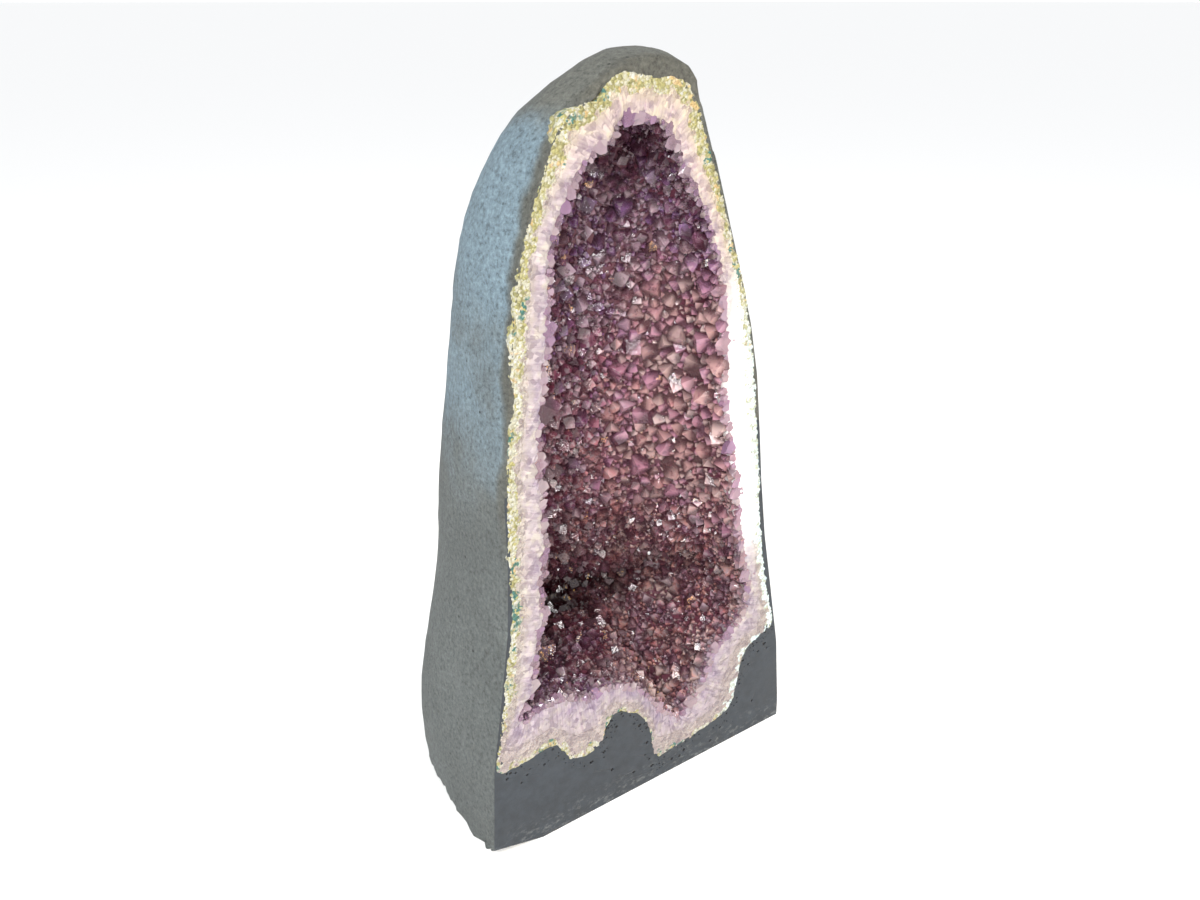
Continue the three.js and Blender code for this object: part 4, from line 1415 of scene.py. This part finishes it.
class GEODE_OT_points(bpy.types.Operator):
    """Grows the amethyst points on the wall of the hollow."""

    bl_idname = "geode.points"
    bl_label = "Amethyst points"

    def execute(self, context):
        settings = context.scene.geode_crystal
        dice = random.Random(POINT_SEED)
        templates = [crystal_template(number, dice) for number in range(TEMPLATES)]
        placed = scattered_points(settings, dice)
        finish = amethyst_finish(settings)
        groups = {
            "amethyst_points": [point for point in placed if point[2] >= SMALL_PIECE_BELOW],
            "amethyst_small": [point for point in placed if point[2] < SMALL_PIECE_BELOW],
        }
        for name, group in groups.items():
            piece = new_piece(name, grown_points(name, group, templates, dice))
            piece.data.materials.append(finish)
            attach(piece, "root")
            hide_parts("amethyst_crust")
        return {"FINISHED"}


# The photograph's view: the camera's place from the middle of the base's front edge, in mm.
CAMERA_PLACE = (-407.5, -499.1, 590.7)
CAMERA_PITCH = 24.2277
CAMERA_HEADING = 35.692
LENS = 30
SENSOR = 36
FLOOR_SIZE = 600
FLOOR_WHITE = 0.97
LAMP_AIM = (0, 0, 0.3)
# The world's strength at the horizon and above, and how far up it changes.
WORLD_STRENGTH = {"From Min": 0.0, "From Max": 0.6, "To Min": 1.04, "To Max": 0.98}
WORLD_COLOUR = (0.98, 0.99, 1.0, 1)

# The lamps: name, place and size in metres, power in watts, colour. The small ones make glints.
LAMPS = [
    ("key_left", (-1.4, -1.2, 1.5), 0.8, 36, (0.95, 0.98, 1.0)),
    ("front_right", (0.7, -1.8, 1.2), 0.5, 7, (1.0, 0.95, 0.90)),
    ("glint_left", (-0.5, -1.2, 1.7), 0.20, 4.5, (1.0, 1.0, 1.0)),
    ("glint_high", (0.2, -0.9, 1.9), 0.20, 4.5, (0.94, 0.97, 1.0)),
    ("glint_middle", (-0.1, -1.7, 0.8), 0.18, 3.6, (1.0, 1.0, 1.0)),
    ("glint_low", (-0.9, -1.5, 0.35), 0.18, 3.6, (0.97, 0.98, 1.0)),
    ("gold_right", (0.6, -1.1, 1.3), 0.18, 2.6, (1.0, 0.55, 0.12)),
    ("gold_low", (0.25, -1.5, 0.45), 0.16, 2.0, (1.0, 0.58, 0.16)),
    ("gold_left", (-1.0, -0.9, 1.0), 0.14, 1.6, (1.0, 0.60, 0.18)),
]


def lay_floor():
    """A pale floor that reaches far beyond the picture."""
    clear_selection()
    bpy.ops.mesh.primitive_plane_add(size=FLOOR_SIZE, location=(0, 0, 0))
    floor = bpy.context.object
    floor.name = "floor"
    bpy.ops.object.transform_apply(location=True, rotation=True, scale=True)
    finish = Finish("Pale floor")
    finish.set(Base_Color=(FLOOR_WHITE, FLOOR_WHITE, FLOOR_WHITE, 1), Roughness=0.9)
    finish.shader.inputs["Specular IOR Level"].default_value = 0.0
    floor.data.materials.append(finish.material)


def light_studio(scene):
    """An even, nearly white surrounding and the lamps."""
    world = bpy.data.worlds.new("Studio")
    scene.world = world
    world.use_nodes = True
    nodes = world.node_tree.nodes
    links = world.node_tree.links
    split = nodes.new("ShaderNodeSeparateXYZ")
    links.new(nodes.new("ShaderNodeTexCoord").outputs["Generated"], split.inputs["Vector"])
    dim = nodes.new("ShaderNodeMapRange")
    links.new(split.outputs["Z"], dim.inputs["Value"])
    for key, value in WORLD_STRENGTH.items():
        dim.inputs[key].default_value = value
    background = nodes["Background"]
    background.inputs["Color"].default_value = WORLD_COLOUR
    links.new(dim.outputs["Result"], background.inputs["Strength"])
    for name, place, size, power, colour in LAMPS:
        bpy.ops.object.light_add(type="AREA", location=place)
        lamp = bpy.context.object
        lamp.name = name
        lamp.data.shape = "SQUARE"
        lamp.data.size = size
        lamp.data.energy = power
        lamp.data.color = colour
        direction = Vector(LAMP_AIM) - Vector(place)
        lamp.rotation_euler = direction.to_track_quat("-Z", "Y").to_euler()


def place_camera(scene):
    """The camera at the photograph's place, with its lens and its tilt."""
    view = bpy.data.cameras.new("Photograph")
    view.lens = LENS
    view.sensor_width = SENSOR
    camera = bpy.data.objects.new("Photograph", view)
    scene.collection.objects.link(camera)
    camera.location = tuple(in_place(np.array([CAMERA_PLACE]))[0])
    camera.rotation_euler = (math.radians(90 - CAMERA_PITCH), 0, -math.radians(CAMERA_HEADING))
    scene.camera = camera


class GEODE_OT_stage(bpy.types.Operator):
    """Sets the pale floor, the soft light and the camera."""

    bl_idname = "geode.stage"
    bl_label = "Stage"

    def execute(self, context):
        scene = context.scene
        lay_floor()
        scene.view_settings.view_transform = "Standard"
        light_studio(scene)
        place_camera(scene)
        return {"FINISHED"}


class GEODE_PT_sidebar(bpy.types.Panel):
    """Shows the geode's settings and its steps in the sidebar."""

    bl_label = "Amethyst geode"
    bl_idname = "GEODE_PT_sidebar"
    bl_space_type = "VIEW_3D"
    bl_region_type = "UI"
    bl_category = "Geode"

    def draw(self, context):
        for group in (context.scene.geode_stone, context.scene.geode_band, context.scene.geode_crystal):
            box = self.layout.box()
            for key in group.__annotations__:
                box.prop(group, key)
        for operator in OPERATORS:
            self.layout.operator(operator.bl_idname)


SETTINGS = (StoneSettings, BandSettings, CrystalSettings)
OPERATORS = (GEODE_OT_hull, GEODE_OT_rind, GEODE_OT_quartz, GEODE_OT_points, GEODE_OT_stage)


def register():
    for part in (*SETTINGS, *OPERATORS, GEODE_PT_sidebar):
        bpy.utils.register_class(part)
    bpy.types.Scene.geode_stone = PointerProperty(type=StoneSettings)
    bpy.types.Scene.geode_band = PointerProperty(type=BandSettings)
    bpy.types.Scene.geode_crystal = PointerProperty(type=CrystalSettings)


def unregister():
    del bpy.types.Scene.geode_crystal
    del bpy.types.Scene.geode_band
    del bpy.types.Scene.geode_stone
    for part in reversed((*SETTINGS, *OPERATORS, GEODE_PT_sidebar)):
        bpy.utils.unregister_class(part)


def main():
    register()
    bpy.ops.geode.hull()
    bpy.ops.geode.rind()
    bpy.ops.geode.quartz()
    bpy.ops.geode.points()
    bpy.ops.geode.stage()


if __name__ == "__main__":
    main()
